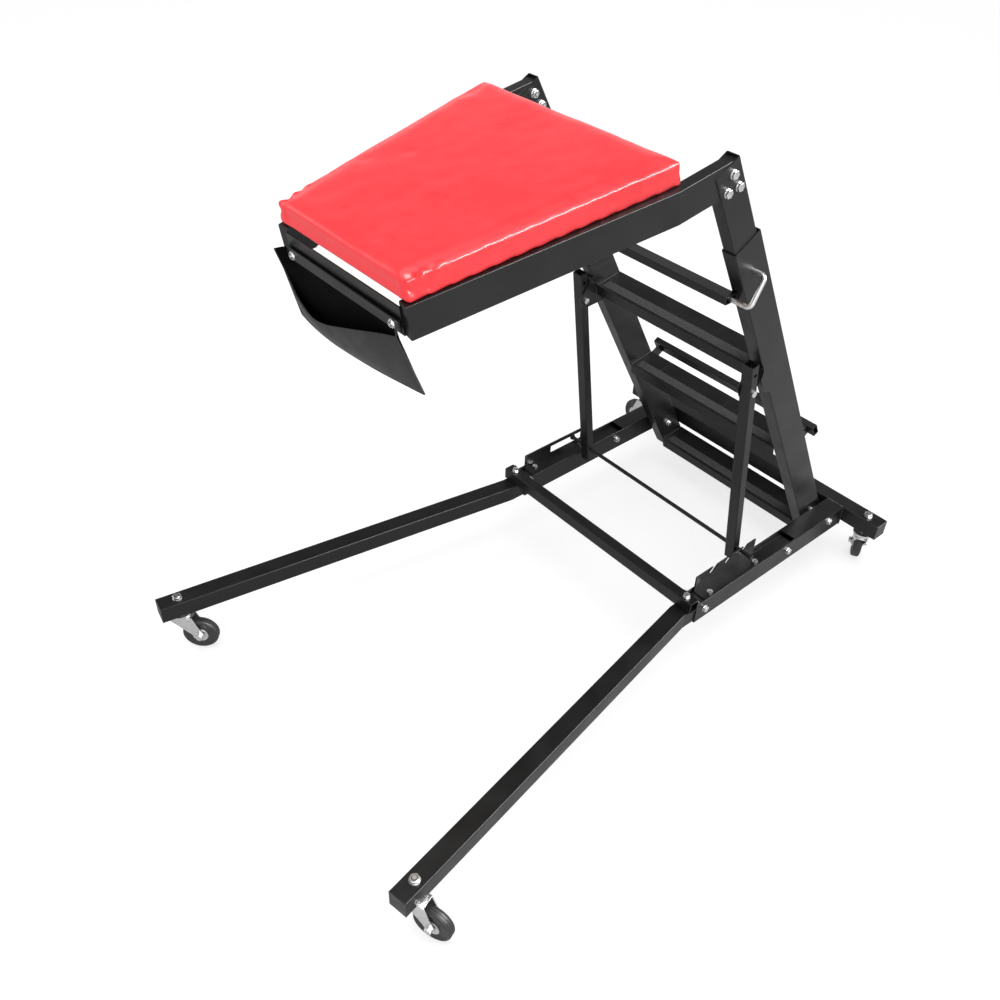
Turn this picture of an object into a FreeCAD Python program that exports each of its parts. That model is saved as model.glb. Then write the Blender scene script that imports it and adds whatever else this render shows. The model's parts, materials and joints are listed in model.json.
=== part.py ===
import FreeCAD
import Part
import Sketcher
import os
import re

# A topside chest-support creeper: a wheeled base with splayed legs, a ladder that leans on two
# props, and a mast that slides in the ladder's uprights and carries the chest pad.
# X is to the side, -Y is the front, where the legs point, and Z is up.
# Pieces are drawn with the floor at zero. As they get their names they are lowered, so that the
# origin is in the middle of the rear crossbar's rear face.

SIZES = {
    # floor and casters
    "mount_height": (98.0, "floor to the underside of the leg ends"),
    "wheel_diameter": (75.0, "caster wheel, across"),
    "wheel_width": (20.0, "caster wheel, along its axle"),
    "caster_trail": (35.0, "swivel axis to axle"),
    "caster_axle": (8.0, "caster axle, across"),
    "running_gap": (0.05, "radial clearance of a turning pin"),
    "fork_sheet": (2.5, "caster fork sheet"),
    "fork_gap": (2.0, "caster wheel to fork, each side"),
    "fork_width": (22.0, "caster fork leg at the crown, front to back"),
    "race_diameter": (44.0, "caster swivel race, across"),
    "race_height": (9.0, "caster swivel race"),
    "stem_diameter": (10.0, "caster stem, across"),
    "front_right_turn": (-70.0, "heading of the front right caster"),
    "front_left_turn": (-41.5, "heading of the front left caster"),
    "rear_right_turn": (30.0, "heading of the rear right caster"),
    "rear_left_turn": (85.0, "heading of the rear left caster"),
    # base
    "tube": (38.0, "leg tube, square"),
    "tube_wall": (2.0, "leg tube wall"),
    "crossbar_half": (383.0, "half of the rear crossbar"),
    "crossbar_rise": (8.0, "crossbar underside above the leg underside"),
    "rear_caster_out": (345.7, "rear caster from the middle"),
    "rail_inside": (247.0, "inner face of a rail from the middle"),
    "rail_width": (44.0, "rail, across"),
    "rail_height": (50.0, "rail, high"),
    "rail_front": (552.0, "front end of a rail behind the crossbar's rear face"),
    "rail_wall": (3.0, "rail wall"),
    "leg_rear": (224.0, "rear end of a leg"),
    "leg_bolt_up": (27.0, "leg bolt above the leg's underside"),
    "hole_gap": (0.2, "radial clearance of a bolt in its hole"),
    "side_gap": (0.2, "clearance beside a turning piece"),
    "cap": (2.0, "end cap plate"),
    "cap_plug": (12.0, "end cap plug, long"),
    "seam": (218.0, "where a rail opens into a channel"),
    "leg_bend": (585.0, "where a leg turns outwards"),
    "leg_reach": (1404.4, "front end of a leg, forwards"),
    "leg_splay": (10.1, "splay of a leg"),
    "front_caster_back": (39.0, "front caster behind the end of its leg"),
    "bolt": (8.0, "frame bolt, across"),
    "nut": (13.0, "frame nut, across its flats"),
    "nut_height": (6.5, "frame nut, high"),
    "leg_bolt_back": (243.0, "leg bolt behind the front"),
    "stay_bolt_back": (540.0, "bolt that holds a leg down"),
    "stay_stand": (10.0, "head of a leg's stay bolt, out from its rail"),
    "tie_back": (552.5, "rear face of the tie bar"),
    "tie_size": (25.0, "tie bar, front to rear"),
    "tie_height": (28.0, "tie bar, high"),
    "tie_half": (292.0, "half of the tie bar"),
    "sheet": (3.0, "bracket sheet"),
    "overrun": (5.0, "how far a cutting tool reaches past what it cuts"),
    # ladder
    "pivot_back": (91.2, "ladder pivot, forwards of the crossbar's rear face"),
    "pivot_height": (130.0, "ladder pivot above the floor"),
    "lean": (29.6, "lean of the ladder"),
    "upright_out": (239.4, "outer face of an upright from the middle"),
    "upright_width": (30.0, "upright, across"),
    "upright_depth": (65.0, "upright, front to rear"),
    "upright_wall": (2.0, "upright wall"),
    "upright_foot": (62.5, "upright below the pivot"),
    "head_rise": (1066.0, "arm above the pivot, along the mast"),
    "head_over": (141.5, "arm above the upright's top, along the mast"),
    "rung_pitch_low": (337.0, "lower rung to middle rung"),
    "rung_pitch_high": (291.0, "middle rung to upper rung"),
    "rung_foot": (50.0, "lower rung below the pivot"),
    "rung_tilt": (20.0, "turn of a tread from square to the uprights"),
    "rung_lip": (24.0, "front lip of a rung"),
    "rung_sheet": (2.0, "rung sheet"),
    "grip_width": (22.0, "grip strip, across"),
    "grip_thick": (0.8, "grip strip"),
    "top_bar_under": (101.2, "top bar below the upright's top"),
    "top_bar_depth": (29.0, "top bar, front to rear"),
    "top_bar_height": (15.0, "top bar, high"),
    "top_bar_half": (222.0, "half of the top bar"),
    "rear_bar_rise": (250.0, "rear bar above the pivot, along the upright"),
    "rear_bar_off": (30.0, "rear bar behind the uprights"),
    "rear_bar_half": (232.0, "half of the rear bar"),
    # props
    "hook_out": (70.0, "strut pivot in front of the upright's middle"),
    "hook_rise": (576.9, "strut pivot above the ladder pivot"),
    "strut_reach": (433.3, "strut pivot to the rod"),
    "strut_depth": (19.0, "strut tube, front to rear"),
    "strut_width": (25.0, "strut tube, across"),
    "strut_wall": (2.0, "strut tube wall"),
    "strut_inside": (215.0, "inner face of a strut from the middle"),
    "strut_over": (64.0, "strut above its pivot"),
    "strut_under": (35.0, "strut below the rod"),
    "rod": (9.0, "strut rod, across"),
    "rod_height": (169.0, "strut rod above the floor"),
    "rod_half": (277.0, "half of the strut rod"),
    "notch_gap": (0.6, "rod in its notch, each side"),
    "notch_rise": (47.0, "angle at which a notch opens"),
    "rack_over": (11.0, "rack above the rod"),
    "notch_pitch": (50.0, "rack notch spacing"),
    "rack_inside": (252.0, "inner face of the right rack"),
    # mast
    "slide_gap": (0.3, "inner tube in upright, each side"),
    "inner_depth": (55.0, "inner tube, front to rear"),
    "inner_wall": (2.0, "inner tube wall"),
    "inner_buried": (470.0, "inner tube below the upright's top"),
    "inner_over": (25.0, "inner tube above the middle of its arm"),
    "pin": (9.0, "lock pin, across"),
    "pin_under": (69.5, "lock pin below the upright's top"),
    "pin_grip": (23.0, "lock pin's outside run from the upright"),
    "pin_gap": (0.5, "radial clearance of a lock pin"),
    "slide_travel": (300.0, "travel of the mast"),
    "arm_slope": (9.5, "slope of the arms down to the front"),
    "arm_height": (55.0, "arm tube, high"),
    "arm_gap": (0.2, "arm between the cheeks, each side"),
    "screw": (6.0, "pouch screw, across"),
    "pad_screw": (4.0, "pad screw, across"),
    "arm_wall": (2.0, "arm tube wall"),
    "arm_bend": (113.9, "arm bend in front of the mast"),
    "arm_reach": (557.0, "arm front end in front of the mast"),
    "arm_front_out": (160.0, "outer face of an arm at its front end"),
    "pad_rear": (94.5, "rear edge of the pad in front of the mast"),
    "pad_length": (457.0, "pad, front to rear"),
    "pad_rear_half": (224.0, "half of the pad's rear edge"),
    "pad_front_half": (158.0, "half of the pad's front edge"),
    "pad_thick": (40.0, "pad, thick"),
    "pad_crown": (5.0, "crown of the pad"),
    "pad_draw": (2.5, "how far the pad's sides draw in"),
    "board": (9.0, "pad board, thick"),
    "board_inset": (4.5, "pad board inside the pad's edge"),
    "plate_top": (20.0, "front plate above the arm's middle"),
    "pouch_half": (158.0, "half of the pouch"),
    "pouch_drop": (131.0, "pouch, deep"),
    "pouch_open": (40.0, "pouch mouth, front to rear"),
    "pouch_skin": (2.5, "pouch sheet"),
    "pouch_below": (23.0, "pouch below the front plate's top"),
    "pouch_end": (8.0, "pouch ends, front to rear"),
    "pouch_dip": (65.0, "middle of the pouch's rim below its back"),
    "pouch_end_drop": (22.0, "ends of the pouch's rim below its back"),
    "strip_height": (19.0, "pouch strip, high"),
    "strip_drop": (30.0, "pouch strip's middle below the front plate's top"),
}

# Each is so many times the size that it goes with
SHARES = {
    "rack_rear_share": (0.9, "rack behind the rod, in notch spacings"),
    "rack_front_share": (3.0, "rack in front of the rod, in notch spacings"),
    "window_front_share": (1.35, "window in front of the rod, in notch spacings"),
    "window_rear_share": (0.7, "window behind the rod, in notch spacings"),
    "screw_out_share": (0.7, "rack screw from the leg's inner face, in leg tubes"),
    "screw_front_share": (0.5, "rack screw from the rack's front, in notch spacings"),
    "screw_rear_share": (0.4, "rack screw from the rack's rear, in notch spacings"),
    "grip_back_share": (0.3, "grip strip behind its tread's edge, in its widths"),
    "ear_rise_share": (2.0, "strut bracket's half height, in strut depths"),
    "ear_end_share": (0.7, "strut bracket round its pin, in strut depths"),
    "wing_share": (0.55, "strut bracket's outer wing towards the strut"),
    "top_hole_share": (0.67, "strut's upper hole towards its top"),
    "rod_end_share": (1.5, "strut rod's washer, in rods"),
    "top_bolt_share": (0.11, "upper arm bolt above the arm's middle, in arm heights"),
    "rear_bolt_share": (0.42, "rear arm bolt below the arm's middle, in arm heights"),
    "front_bolt_share": (0.26, "front arm bolt below the arm's middle, in arm heights"),
    "top_back_share": (0.06, "upper arm bolt behind the middle, in upright depths"),
    "rear_back_share": (0.13, "rear arm bolt behind the middle, in upright depths"),
    "front_back_share": (0.25, "front arm bolt before the middle, in upright depths"),
    "mouth_share": (0.37, "inner tube's mouth below the arm's middle, in arm heights"),
    "pouch_bolt_share": (0.8, "pouch bolt from the middle towards the pouch's end"),
    "pin_hold_share": (1.5, "lock pin in the top bar, in pins"),
    "king_share": (1.6, "king pin's head, in stems"),
    "stem_nut_share": (1.7, "caster nut, in stems"),
    "stem_collar_share": (2.0, "rear caster's collar, in stems"),
    "race_low_share": (0.92, "lower race, in upper races"),
    "crown_share": (1.1, "fork crown behind the stem, in fork widths"),
    "eye_share": (1.3, "fork round its axle, in axles"),
    "eye_low_share": (0.85, "fork below its axle, as a share of its eye"),
    "hub_share": (4.0, "wheel hub, in axles"),
}

doc = FreeCAD.newDocument("chest_creeper")
sheet = doc.addObject("Spreadsheet::Sheet", "sizes")
ENTRIES = {**SIZES, **SHARES}
for row, (alias, (size, meaning)) in enumerate(ENTRIES.items(), 1):
    sheet.set(f"A{row}", meaning)
    sheet.set(f"B{row}", str(size))
    sheet.setAlias(f"B{row}", alias)
doc.recompute()

NODES = {}
ALIAS = re.compile(r"[A-Za-z_][A-Za-z_0-9]*")


def bound(text):
    """The expression with each of the sheet's aliases given its full name."""
    def full(match):
        word = match.group(0)
        return "sizes." + word if word in ENTRIES else word
    return ALIAS.sub(full, str(text))


def value(text):
    """What an expression of the sheet comes to."""
    found = sheet.evalExpression(bound(text))
    return float(getattr(found, "Value", found))


def bind(item, **properties):
    """Bind properties of an object to expressions of the sheet."""
    for name, text in properties.items():
        item.setExpression(name, bound(text))


def put(item, at=(0, 0, 0), turn_axis=None, turn=0):
    """Bind an object's place, and its turn about one axis."""
    if turn_axis:
        item.Placement.Rotation = FreeCAD.Rotation(FreeCAD.Vector(*turn_axis), value(turn) or 1)
        item.setExpression("Placement.Rotation.Angle", bound(turn))
    for letter, text in zip("xyz", at):
        item.setExpression("Placement.Base." + letter, bound(text))
    return item


def box(x, y, z):
    """A block between low and high expressions on each axis."""
    block = doc.addObject("Part::Box", "block")
    sides = {"Length": x, "Width": y, "Height": z}
    bind(block, **{name: f"({high})-({low})" for name, (low, high) in sides.items()})
    return put(block, (x[0], y[0], z[0]))


TURNS = {"x": (0, 1, 0), "y": (1, 0, 0)}
QUARTER = {"x": "90", "y": "-90"}


def along(axis, item, across, low):
    """Lay an upright cylinder or prism along an axis; across holds its other two places."""
    at = list(across)
    at.insert("xyz".index(axis), low)
    if axis == "z":
        return put(item, at)
    item.Placement.Rotation = FreeCAD.Rotation(FreeCAD.Vector(*TURNS[axis]), float(QUARTER[axis]))
    return put(item, at)


def pin(axis, across, low, high, diameter):
    """A round bar along an axis."""
    bar = doc.addObject("Part::Cylinder", "pin")
    bind(bar, Radius=f"({diameter})/2", Height=f"({high})-({low})")
    return along(axis, bar, across, low)


def hexagon(axis, across, low, high, flats):
    """A hexagon bar along an axis."""
    bar = doc.addObject("Part::Prism", "hexagon")
    bar.Polygon = 6
    bind(bar, Circumradius=f"({flats})/2/cos(30)", Height=f"({high})-({low})")
    return along(axis, bar, across, low)


def fuse(*parts):
    """Several solids made one."""
    whole = doc.addObject("Part::MultiFuse", "fuse")
    whole.Shapes = list(parts)
    return whole


def cut(base, *tools):
    """A solid with others taken out of it."""
    left = doc.addObject("Part::Cut", "cut")
    left.Base = base
    left.Tool = fuse(*tools) if len(tools) > 1 else tools[0]
    return left


def group(*parts):
    """Separate solids kept under one name."""
    bunch = doc.addObject("Part::Compound", "group")
    bunch.Links = list(parts)
    return bunch


FACE_HEIGHT = "(mount_height+crossbar_rise+tube/2)"


def node(label, item):
    """Give a finished sub-part its name, lowered from the floor's frame to the part's own."""
    piece = put(group(item), ("0", "0", "-" + FACE_HEIGHT))
    piece.Label = label
    NODES[label] = piece
    return item


def mirrored(item):
    """The same object on the other side of the middle."""
    other = doc.addObject("Part::Mirroring", "mirror")
    other.Source = item
    other.Normal = (1, 0, 0)
    return other


def both(item):
    """An object and its mirror image, as one group."""
    return group(item, mirrored(item))


def new_body():
    """An empty PartDesign body."""
    body = doc.addObject("PartDesign::Body", "body")
    doc.recompute()
    return body


PLANES = {"x": "YZ_Plane", "y": "XZ_Plane", "z": "XY_Plane"}


def outline(body, axis, offset, points):
    """A closed sketch of straight sides, square to an axis, each corner bound to the sheet."""
    sketch = body.newObject("Sketcher::SketchObject", "outline")
    planes = {plane.Role: plane for plane in body.Origin.OriginFeatures}
    sketch.AttachmentSupport = [(planes[PLANES[axis]], "")]
    sketch.MapMode = "FlatFace"
    places = [FreeCAD.Vector(value(u), value(v), 0) for u, v in points]
    after = places[1:] + places[:1]
    sketch.addGeometry([Part.LineSegment(a, b) for a, b in zip(places, after)], False)
    for side in range(len(points)):
        ahead = (side + 1) % len(points)
        sketch.addConstraint(Sketcher.Constraint("Coincident", side, 2, ahead, 1))
    for side, (corner, place) in enumerate(zip(points, places)):
        for kind, text, size in zip(("DistanceX", "DistanceY"), corner, place):
            number = sketch.addConstraint(Sketcher.Constraint(kind, -1, 1, side, 1, size))
            sketch.setExpression(f"Constraints[{number}]", bound(text))
    sketch.setExpression("AttachmentOffset.Base.z", bound(offset))
    return sketch


def extrude(body, axis, low, high, points, kind="Pad"):
    """Pad or pocket a straight-sided outline between two places along an axis."""
    start = f"-({high})" if axis == "y" else low
    feature = body.newObject("PartDesign::" + kind, kind.lower())
    feature.Profile = outline(body, axis, start, points)
    bind(feature, Length=f"({high})-({low})")
    feature.Reversed = kind == "Pocket"
    before = body.Shape.Volume if kind == "Pocket" else 0
    doc.recompute()
    changed = body.Shape.Volume - before
    if (changed >= 0) == (kind == "Pocket"):
        raise ValueError(f"{kind} of {body.Name} changed nothing")
    return body


def plate(axis, low, high, points, *holes):
    """A body from one outline, with further outlines pocketed right through it."""
    body = extrude(new_body(), axis, low, high, points)
    for hole in holes:
        extrude(body, axis, low, high, hole, "Pocket")
    return body


def rect(u, v):
    """The corners of a rectangle between low and high expressions."""
    return [(u[0], v[0]), (u[1], v[0]), (u[1], v[1]), (u[0], v[1])]


def grown(pair, by):
    """A low and high pair of expressions moved apart."""
    return (f"({pair[0]})-({by})", f"({pair[1]})+({by})")


def tube(x, y, z, wall, through):
    """A rectangular tube, open along the axis named by through."""
    spans = {"x": x, "y": y, "z": z}
    inner = {a: grown(s, "overrun" if a == through else f"-({wall})") for a, s in spans.items()}
    return cut(box(**spans), box(**inner))


def bolt(axis, across, low, high, width, flats, tall):
    """A bolt whose grip runs from low to high, with its head past high and its nut past low."""
    parts = [
        pin(axis, across, f"({low})-({tall})", f"({high})+({tall})/2", width),
        hexagon(axis, across, high, f"({high})+({tall})", flats),
        hexagon(axis, across, f"({low})-({tall})", low, flats),
    ]
    return fuse(*parts)


LADDER = ("0", "-pivot_back", "pivot_height")


def on_ladder(item):
    """Stand a piece, drawn about the ladder's pivot, in the leaning ladder."""
    return put(item, LADDER, (1, 0, 0), "lean")


def leaned(depth, rise):
    """Where a place in the ladder's own frame lies, as y and z expressions."""
    y = f"(-pivot_back+({depth})*cos(lean)-({rise})*sin(lean))"
    z = f"(pivot_height+({depth})*sin(lean)+({rise})*cos(lean))"
    return y, z


# Rear crossbar and rails

LEG_TOP = "(mount_height+tube)"
BAR_LOW = "(mount_height+crossbar_rise)"
BAR_TOP = "(mount_height+crossbar_rise+tube)"
RAIL_OUT = "(rail_inside+rail_width)"
RAIL_LOW = "(mount_height-rail_wall)"
RAIL_TOP = "(mount_height-rail_wall+rail_height)"
HOLE = "(bolt+2*hole_gap)"
STEM_HOLE = "(stem_diameter+2*running_gap)"
AXLE_HOLE = "(caster_axle+2*running_gap)"
PIVOT = ("-pivot_back", "pivot_height")
LEG_BOLT = ("-leg_bolt_back", "mount_height+leg_bolt_up")
STAY_BOLT = ("-stay_bolt_back", LEG_TOP + "+bolt/2+hole_gap")
REAR_CASTER = ("rear_caster_out", "-tube/2")


def rear_crossbar():
    """The square tube that the rails are welded to, with the rear casters' holes."""
    bar = tube(("-crossbar_half", "crossbar_half"), ("-tube", "0"), (BAR_LOW, BAR_TOP),
               "tube_wall", "x")
    hole = pin("z", REAR_CASTER, BAR_LOW + "-overrun", BAR_TOP + "+overrun", STEM_HOLE)
    return cut(bar, both(hole))


def right_rail():
    """A rectangular tube whose front part has no top wall, so that it is a channel."""
    spans = (("rail_inside", RAIL_OUT), ("-rail_front", "-tube"), (RAIL_LOW, RAIL_TOP))
    open_top = box(grown(spans[0], "-rail_wall"), ("-rail_front-overrun", "-seam"),
                   (LEG_TOP, RAIL_TOP + "+overrun"))
    across = ("rail_inside-overrun", RAIL_OUT + "+overrun")
    holes = [pin("x", at, *across, HOLE) for at in (PIVOT, LEG_BOLT, STAY_BOLT)]
    return cut(tube(*spans, "rail_wall", "y"), open_top, *holes)


def square_cap(x, y, z, axis):
    """A moulded cap: a plate over a tube's end, and a plug that fills its mouth."""
    spans = {"x": x, "y": y, "z": z}
    plug = {a: grown(s, "-tube_wall") for a, s in spans.items()}
    low, high = spans[axis]
    plug[axis] = (f"({low})-cap_plug", low)
    return fuse(box(**spans), box(**plug))


node("rear_crossbar", rear_crossbar())
rail = node("right_rail", right_rail())
node("left_rail", mirrored(rail))
node("crossbar_caps", both(square_cap(
    ("crossbar_half", "crossbar_half+cap"), ("-tube", "0"), (BAR_LOW, BAR_TOP), "x")))

# Legs

LEG_IN = "(rail_inside+rail_wall)"
LEG_OUT = "(rail_inside+rail_wall+tube)"
LEG_RUN = "((leg_reach-leg_bend)/cos(leg_splay))"


def leg_place(run, inboard):
    """A place on a splayed leg, so far past its bend and so far inboard of its outer face."""
    x = f"({LEG_OUT}+({run})*sin(leg_splay)-({inboard})*cos(leg_splay))"
    y = f"(-leg_bend-({run})*cos(leg_splay)-({inboard})*sin(leg_splay))"
    return x, y


def leg_plan(inset, rear, run):
    """A leg's outline from above, with its sides moved in."""
    near = inset
    far = f"(tube-({inset}))"
    bend = [(f"{LEG_OUT}-({t})", f"-leg_bend-({t})*tan(leg_splay/2)") for t in (near, far)]
    back = [(f"{LEG_OUT}-({t})", rear) for t in (far, near)]
    return [*back, bend[0], leg_place(run, near), leg_place(run, far), bend[1]]


FRONT_CASTER = leg_place(f"{LEG_RUN}-front_caster_back", "tube/2")
TIE_BOLT = (f"({LEG_IN}+tube/2)", "-tie_back-tie_size/2")


def right_leg():
    """A bent square tube, straight in its rail and splayed in front of it."""
    body = extrude(new_body(), "z", "mount_height", LEG_TOP, leg_plan("0", "-leg_rear", LEG_RUN))
    bore = leg_plan("tube_wall", "-leg_rear+overrun", LEG_RUN + "+overrun")
    extrude(body, "z", "mount_height+tube_wall", LEG_TOP + "-tube_wall", bore, "Pocket")
    up = ("mount_height-overrun", LEG_TOP + "+overrun")
    return cut(body, pin("z", FRONT_CASTER, *up, STEM_HOLE), pin("z", TIE_BOLT, *up, HOLE),
               pin("x", LEG_BOLT, "rail_inside", RAIL_OUT, HOLE))


def leg_cap():
    """The moulded cap on a leg's front end."""
    face = [leg_place(LEG_RUN, "0"), leg_place(LEG_RUN + "+cap", "0"),
            leg_place(LEG_RUN + "+cap", "tube"), leg_place(LEG_RUN, "tube")]
    inside = "tube_wall+hole_gap"
    plug = [leg_place(f"{LEG_RUN}-{back}", t)
            for back, t in (("cap_plug", inside), ("0", inside),
                            ("0", f"tube-({inside})"), ("cap_plug", f"tube-({inside})"))]
    body = extrude(new_body(), "z", "mount_height", LEG_TOP, face)
    return extrude(body, "z", f"mount_height+{inside}", f"{LEG_TOP}-({inside})", plug)


leg = node("right_leg", right_leg())
node("left_leg", mirrored(leg))
node("leg_caps", both(leg_cap()))


def tie_bar():
    """The bar that lies across both legs in front of the rails."""
    span = ("-tie_half", "tie_half")
    bar = tube(span, ("-tie_back-tie_size", "-tie_back"), (LEG_TOP, LEG_TOP + "+tie_height"),
               "tube_wall", "x")
    hole = pin("z", TIE_BOLT, LEG_TOP + "-overrun", LEG_TOP + "+tie_height+overrun", HOLE)
    return cut(bar, both(hole))


node("tie_bar", tie_bar())
node("tie_bar_bolts", both(bolt("z", TIE_BOLT, "mount_height", LEG_TOP + "+tie_height",
                                "bolt", "nut", "nut_height")))
across_rail = ("rail_inside", RAIL_OUT)
node("leg_bolts", both(bolt("x", LEG_BOLT, *across_rail, "bolt", "nut", "nut_height")))
node("leg_stay_bolts", both(bolt("x", STAY_BOLT, "rail_inside", RAIL_OUT + "+stay_stand",
                                 "bolt", "nut", "nut_height")))

# Ladder pivots

UP_IN = "(upright_out-upright_width)"


def ladder_pivot():
    """A bolt through the rail and the upright, with a spacer between them."""
    low = UP_IN + "-side_gap"
    spacer = pin("x", PIVOT, "upright_out+side_gap", "rail_inside", "2*bolt")
    return fuse(bolt("x", PIVOT, low, RAIL_OUT, "bolt", "nut", "nut_height"), spacer)


node("ladder_pivots", both(ladder_pivot()))

# Strut racks

HOOK_Y, HOOK_Z = leaned("-hook_out", "hook_rise")
STRUT_LEAN = f"acos(({HOOK_Z}-rod_height)/strut_reach)"
ROD_Y = f"({HOOK_Y}+strut_reach*sin({STRUT_LEAN}))"
RACK_REAR = f"({ROD_Y}+rack_rear_share*notch_pitch)"
RACK_FRONT = f"({ROD_Y}-rack_front_share*notch_pitch)"
RACK_TOP = "(rod_height+rack_over)"
FLANGE_TOP = f"({LEG_TOP}+sheet)"
RACK_OUT = f"({RAIL_OUT}-rail_wall)"
NOTCHES = 3


def notch(number):
    """A slot that holds the rod and opens upwards and to the rear."""
    y = f"{ROD_Y}-{number}*notch_pitch"
    half = "(rod/2+notch_gap)"

    def corner(run, side):
        return (f"{y}+({run})*cos(notch_rise)-({side})*sin(notch_rise)",
                f"rod_height+({run})*sin(notch_rise)+({side})*cos(notch_rise)")

    return [corner("-" + half, "-" + half), corner("notch_pitch", "-" + half),
            corner("notch_pitch", half), corner("-" + half, half)]


def rack_screw(side, y):
    """A vertical screw that holds a rack's flange to the leg."""
    x = f"{side}*({LEG_IN}+screw_out_share*tube)"
    return pin("z", (x, y), FLANGE_TOP, FLANGE_TOP + "+nut_height/2", "nut")


def right_rack():
    """An angle plate on the leg with a row of hooked notches for the rod."""
    wall = plate("x", "rack_inside", "rack_inside+sheet",
                 rect((RACK_FRONT, RACK_REAR), (LEG_TOP, RACK_TOP)),
                 *[notch(number) for number in range(NOTCHES)])
    flange = box(("rack_inside", RACK_OUT), (RACK_FRONT, RACK_REAR), (LEG_TOP, FLANGE_TOP))
    return fuse(wall, flange)


def left_rack():
    """An angle plate on the left leg, its wall outside the rod, with one long window."""
    window = rect((f"{ROD_Y}-window_front_share*notch_pitch",
                   f"{ROD_Y}+window_rear_share*notch_pitch"),
                  (FLANGE_TOP + "+3*sheet", RACK_TOP + "-4*sheet"))
    wall = plate("x", f"-{RACK_OUT}", f"-{RACK_OUT}+sheet",
                 rect((RACK_FRONT, RACK_REAR), (LEG_TOP, RACK_TOP + "-sheet")), window)
    flange = box((f"-{RACK_OUT}", f"-{LEG_IN}"), (RACK_FRONT, RACK_REAR), (LEG_TOP, FLANGE_TOP))
    return fuse(wall, flange)


node("right_rack", right_rack())
node("left_rack", left_rack())
SCREWS = [rack_screw(side, y) for side in (1, -1)
          for y in (RACK_FRONT + "+screw_front_share*notch_pitch",
                    RACK_REAR + "-screw_rear_share*notch_pitch")]
node("rack_screws", group(*SCREWS))

# Ladder

UP_FRONT = "(-upright_depth/2)"
UP_REAR = "(upright_depth/2)"
PIN_HOLE = "(pin+2*pin_gap)"
PIVOT_HOLE = "(bolt+2*running_gap)"
UP_TOP = "(head_rise-head_over)"
PIN_RISE = f"({UP_TOP}-pin_under)"
BAR_RISE = f"({UP_TOP}-top_bar_under)"


def right_upright():
    """The outer tube of the ladder's side, which the mast slides in."""
    post = tube((UP_IN, "upright_out"), (UP_FRONT, UP_REAR), ("-upright_foot", UP_TOP),
                "upright_wall", "z")
    across = (UP_IN + "-overrun", "upright_out+overrun")
    pivot_hole = pin("x", ("0", "0"), *across, PIVOT_HOLE)
    return on_ladder(cut(post, pivot_hole, pin("x", ("0", PIN_RISE), *across, PIN_HOLE)))


RUNG_HALF = "(upright_depth/2/cos(rung_tilt))"
RUNGS = {
    "lower": "-rung_foot",
    "middle": "-rung_foot+rung_pitch_low",
    "upper": "-rung_foot+rung_pitch_low+rung_pitch_high",
}


def on_rung(item, rise):
    """Place a piece drawn about the middle of a tread."""
    return put(item, ("0", *leaned("0", rise)), (1, 0, 0), "lean-rung_tilt")


def rung(rise):
    """A pressed channel: a tread with a lip turned down at its front and rear."""
    front, rear = "-" + RUNG_HALF, RUNG_HALF
    points = [(front, "0"), (front, "-rung_lip"), (front + "+rung_sheet", "-rung_lip"),
              (front + "+rung_sheet", "-rung_sheet"), (rear + "-rung_sheet", "-rung_sheet"),
              (rear + "-rung_sheet", "-rung_lip"), (rear, "-rung_lip"), (rear, "0")]
    return on_rung(plate("x", "-" + UP_IN, UP_IN, points), rise)


def grip_strip(rise):
    """A strip of grip tape along the front of a tread."""
    edge = f"-{RUNG_HALF}+grip_back_share*grip_width"
    span = (edge, edge + "+grip_width")
    half = f"({UP_IN}-grip_width/2)"
    return on_rung(plate("x", "-" + half, half, rect(span, ("0", "grip_thick"))), rise)


upright = node("right_upright", right_upright())
node("left_upright", mirrored(upright))
for name, rise in RUNGS.items():
    node(name + "_rung", rung(rise))
node("grip_strips", group(*[grip_strip(rise) for rise in RUNGS.values()]))

BAR_Y, BAR_Z = leaned("-upright_depth/2", BAR_RISE)


def top_bar():
    """A level flat tube across the fronts of the uprights, open at its ends."""
    return tube(("-top_bar_half", "top_bar_half"), (BAR_Y + "-top_bar_depth", BAR_Y),
                (BAR_Z + "-top_bar_height", BAR_Z), "upright_wall", "x")


def top_bar_bracket():
    """A wedge that fills the angle between the level bar and the leaning upright."""
    points = [(BAR_Y, BAR_Z), (BAR_Y, BAR_Z + "-top_bar_height"),
              (BAR_Y + "+top_bar_height*tan(lean)", BAR_Z + "-top_bar_height")]
    return plate("x", UP_IN, "top_bar_half", points)


node("top_bar", top_bar())
node("top_bar_brackets", both(top_bar_bracket()))

REAR_BAR = (UP_REAR + "+rear_bar_off", UP_REAR + "+rear_bar_off+top_bar_height")
REAR_BAR_RISE = ("rear_bar_rise-top_bar_depth/2", "rear_bar_rise+top_bar_depth/2")
rear_tube = tube(("-rear_bar_half", "rear_bar_half"), REAR_BAR, REAR_BAR_RISE,
                 "upright_wall", "x")
node("rear_bar", on_ladder(rear_tube))
bracket = box((UP_IN + "+sheet", UP_IN + "+2*sheet"), (UP_REAR, REAR_BAR[0]), REAR_BAR_RISE)
node("rear_bar_brackets", on_ladder(both(bracket)))

EAR_OUT = "(strut_inside-side_gap)"
EAR_IN = "(strut_inside-side_gap-sheet)"
HOOK = ("-hook_out", "hook_rise")
WING_IN = "(strut_inside+strut_width+side_gap)"


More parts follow.
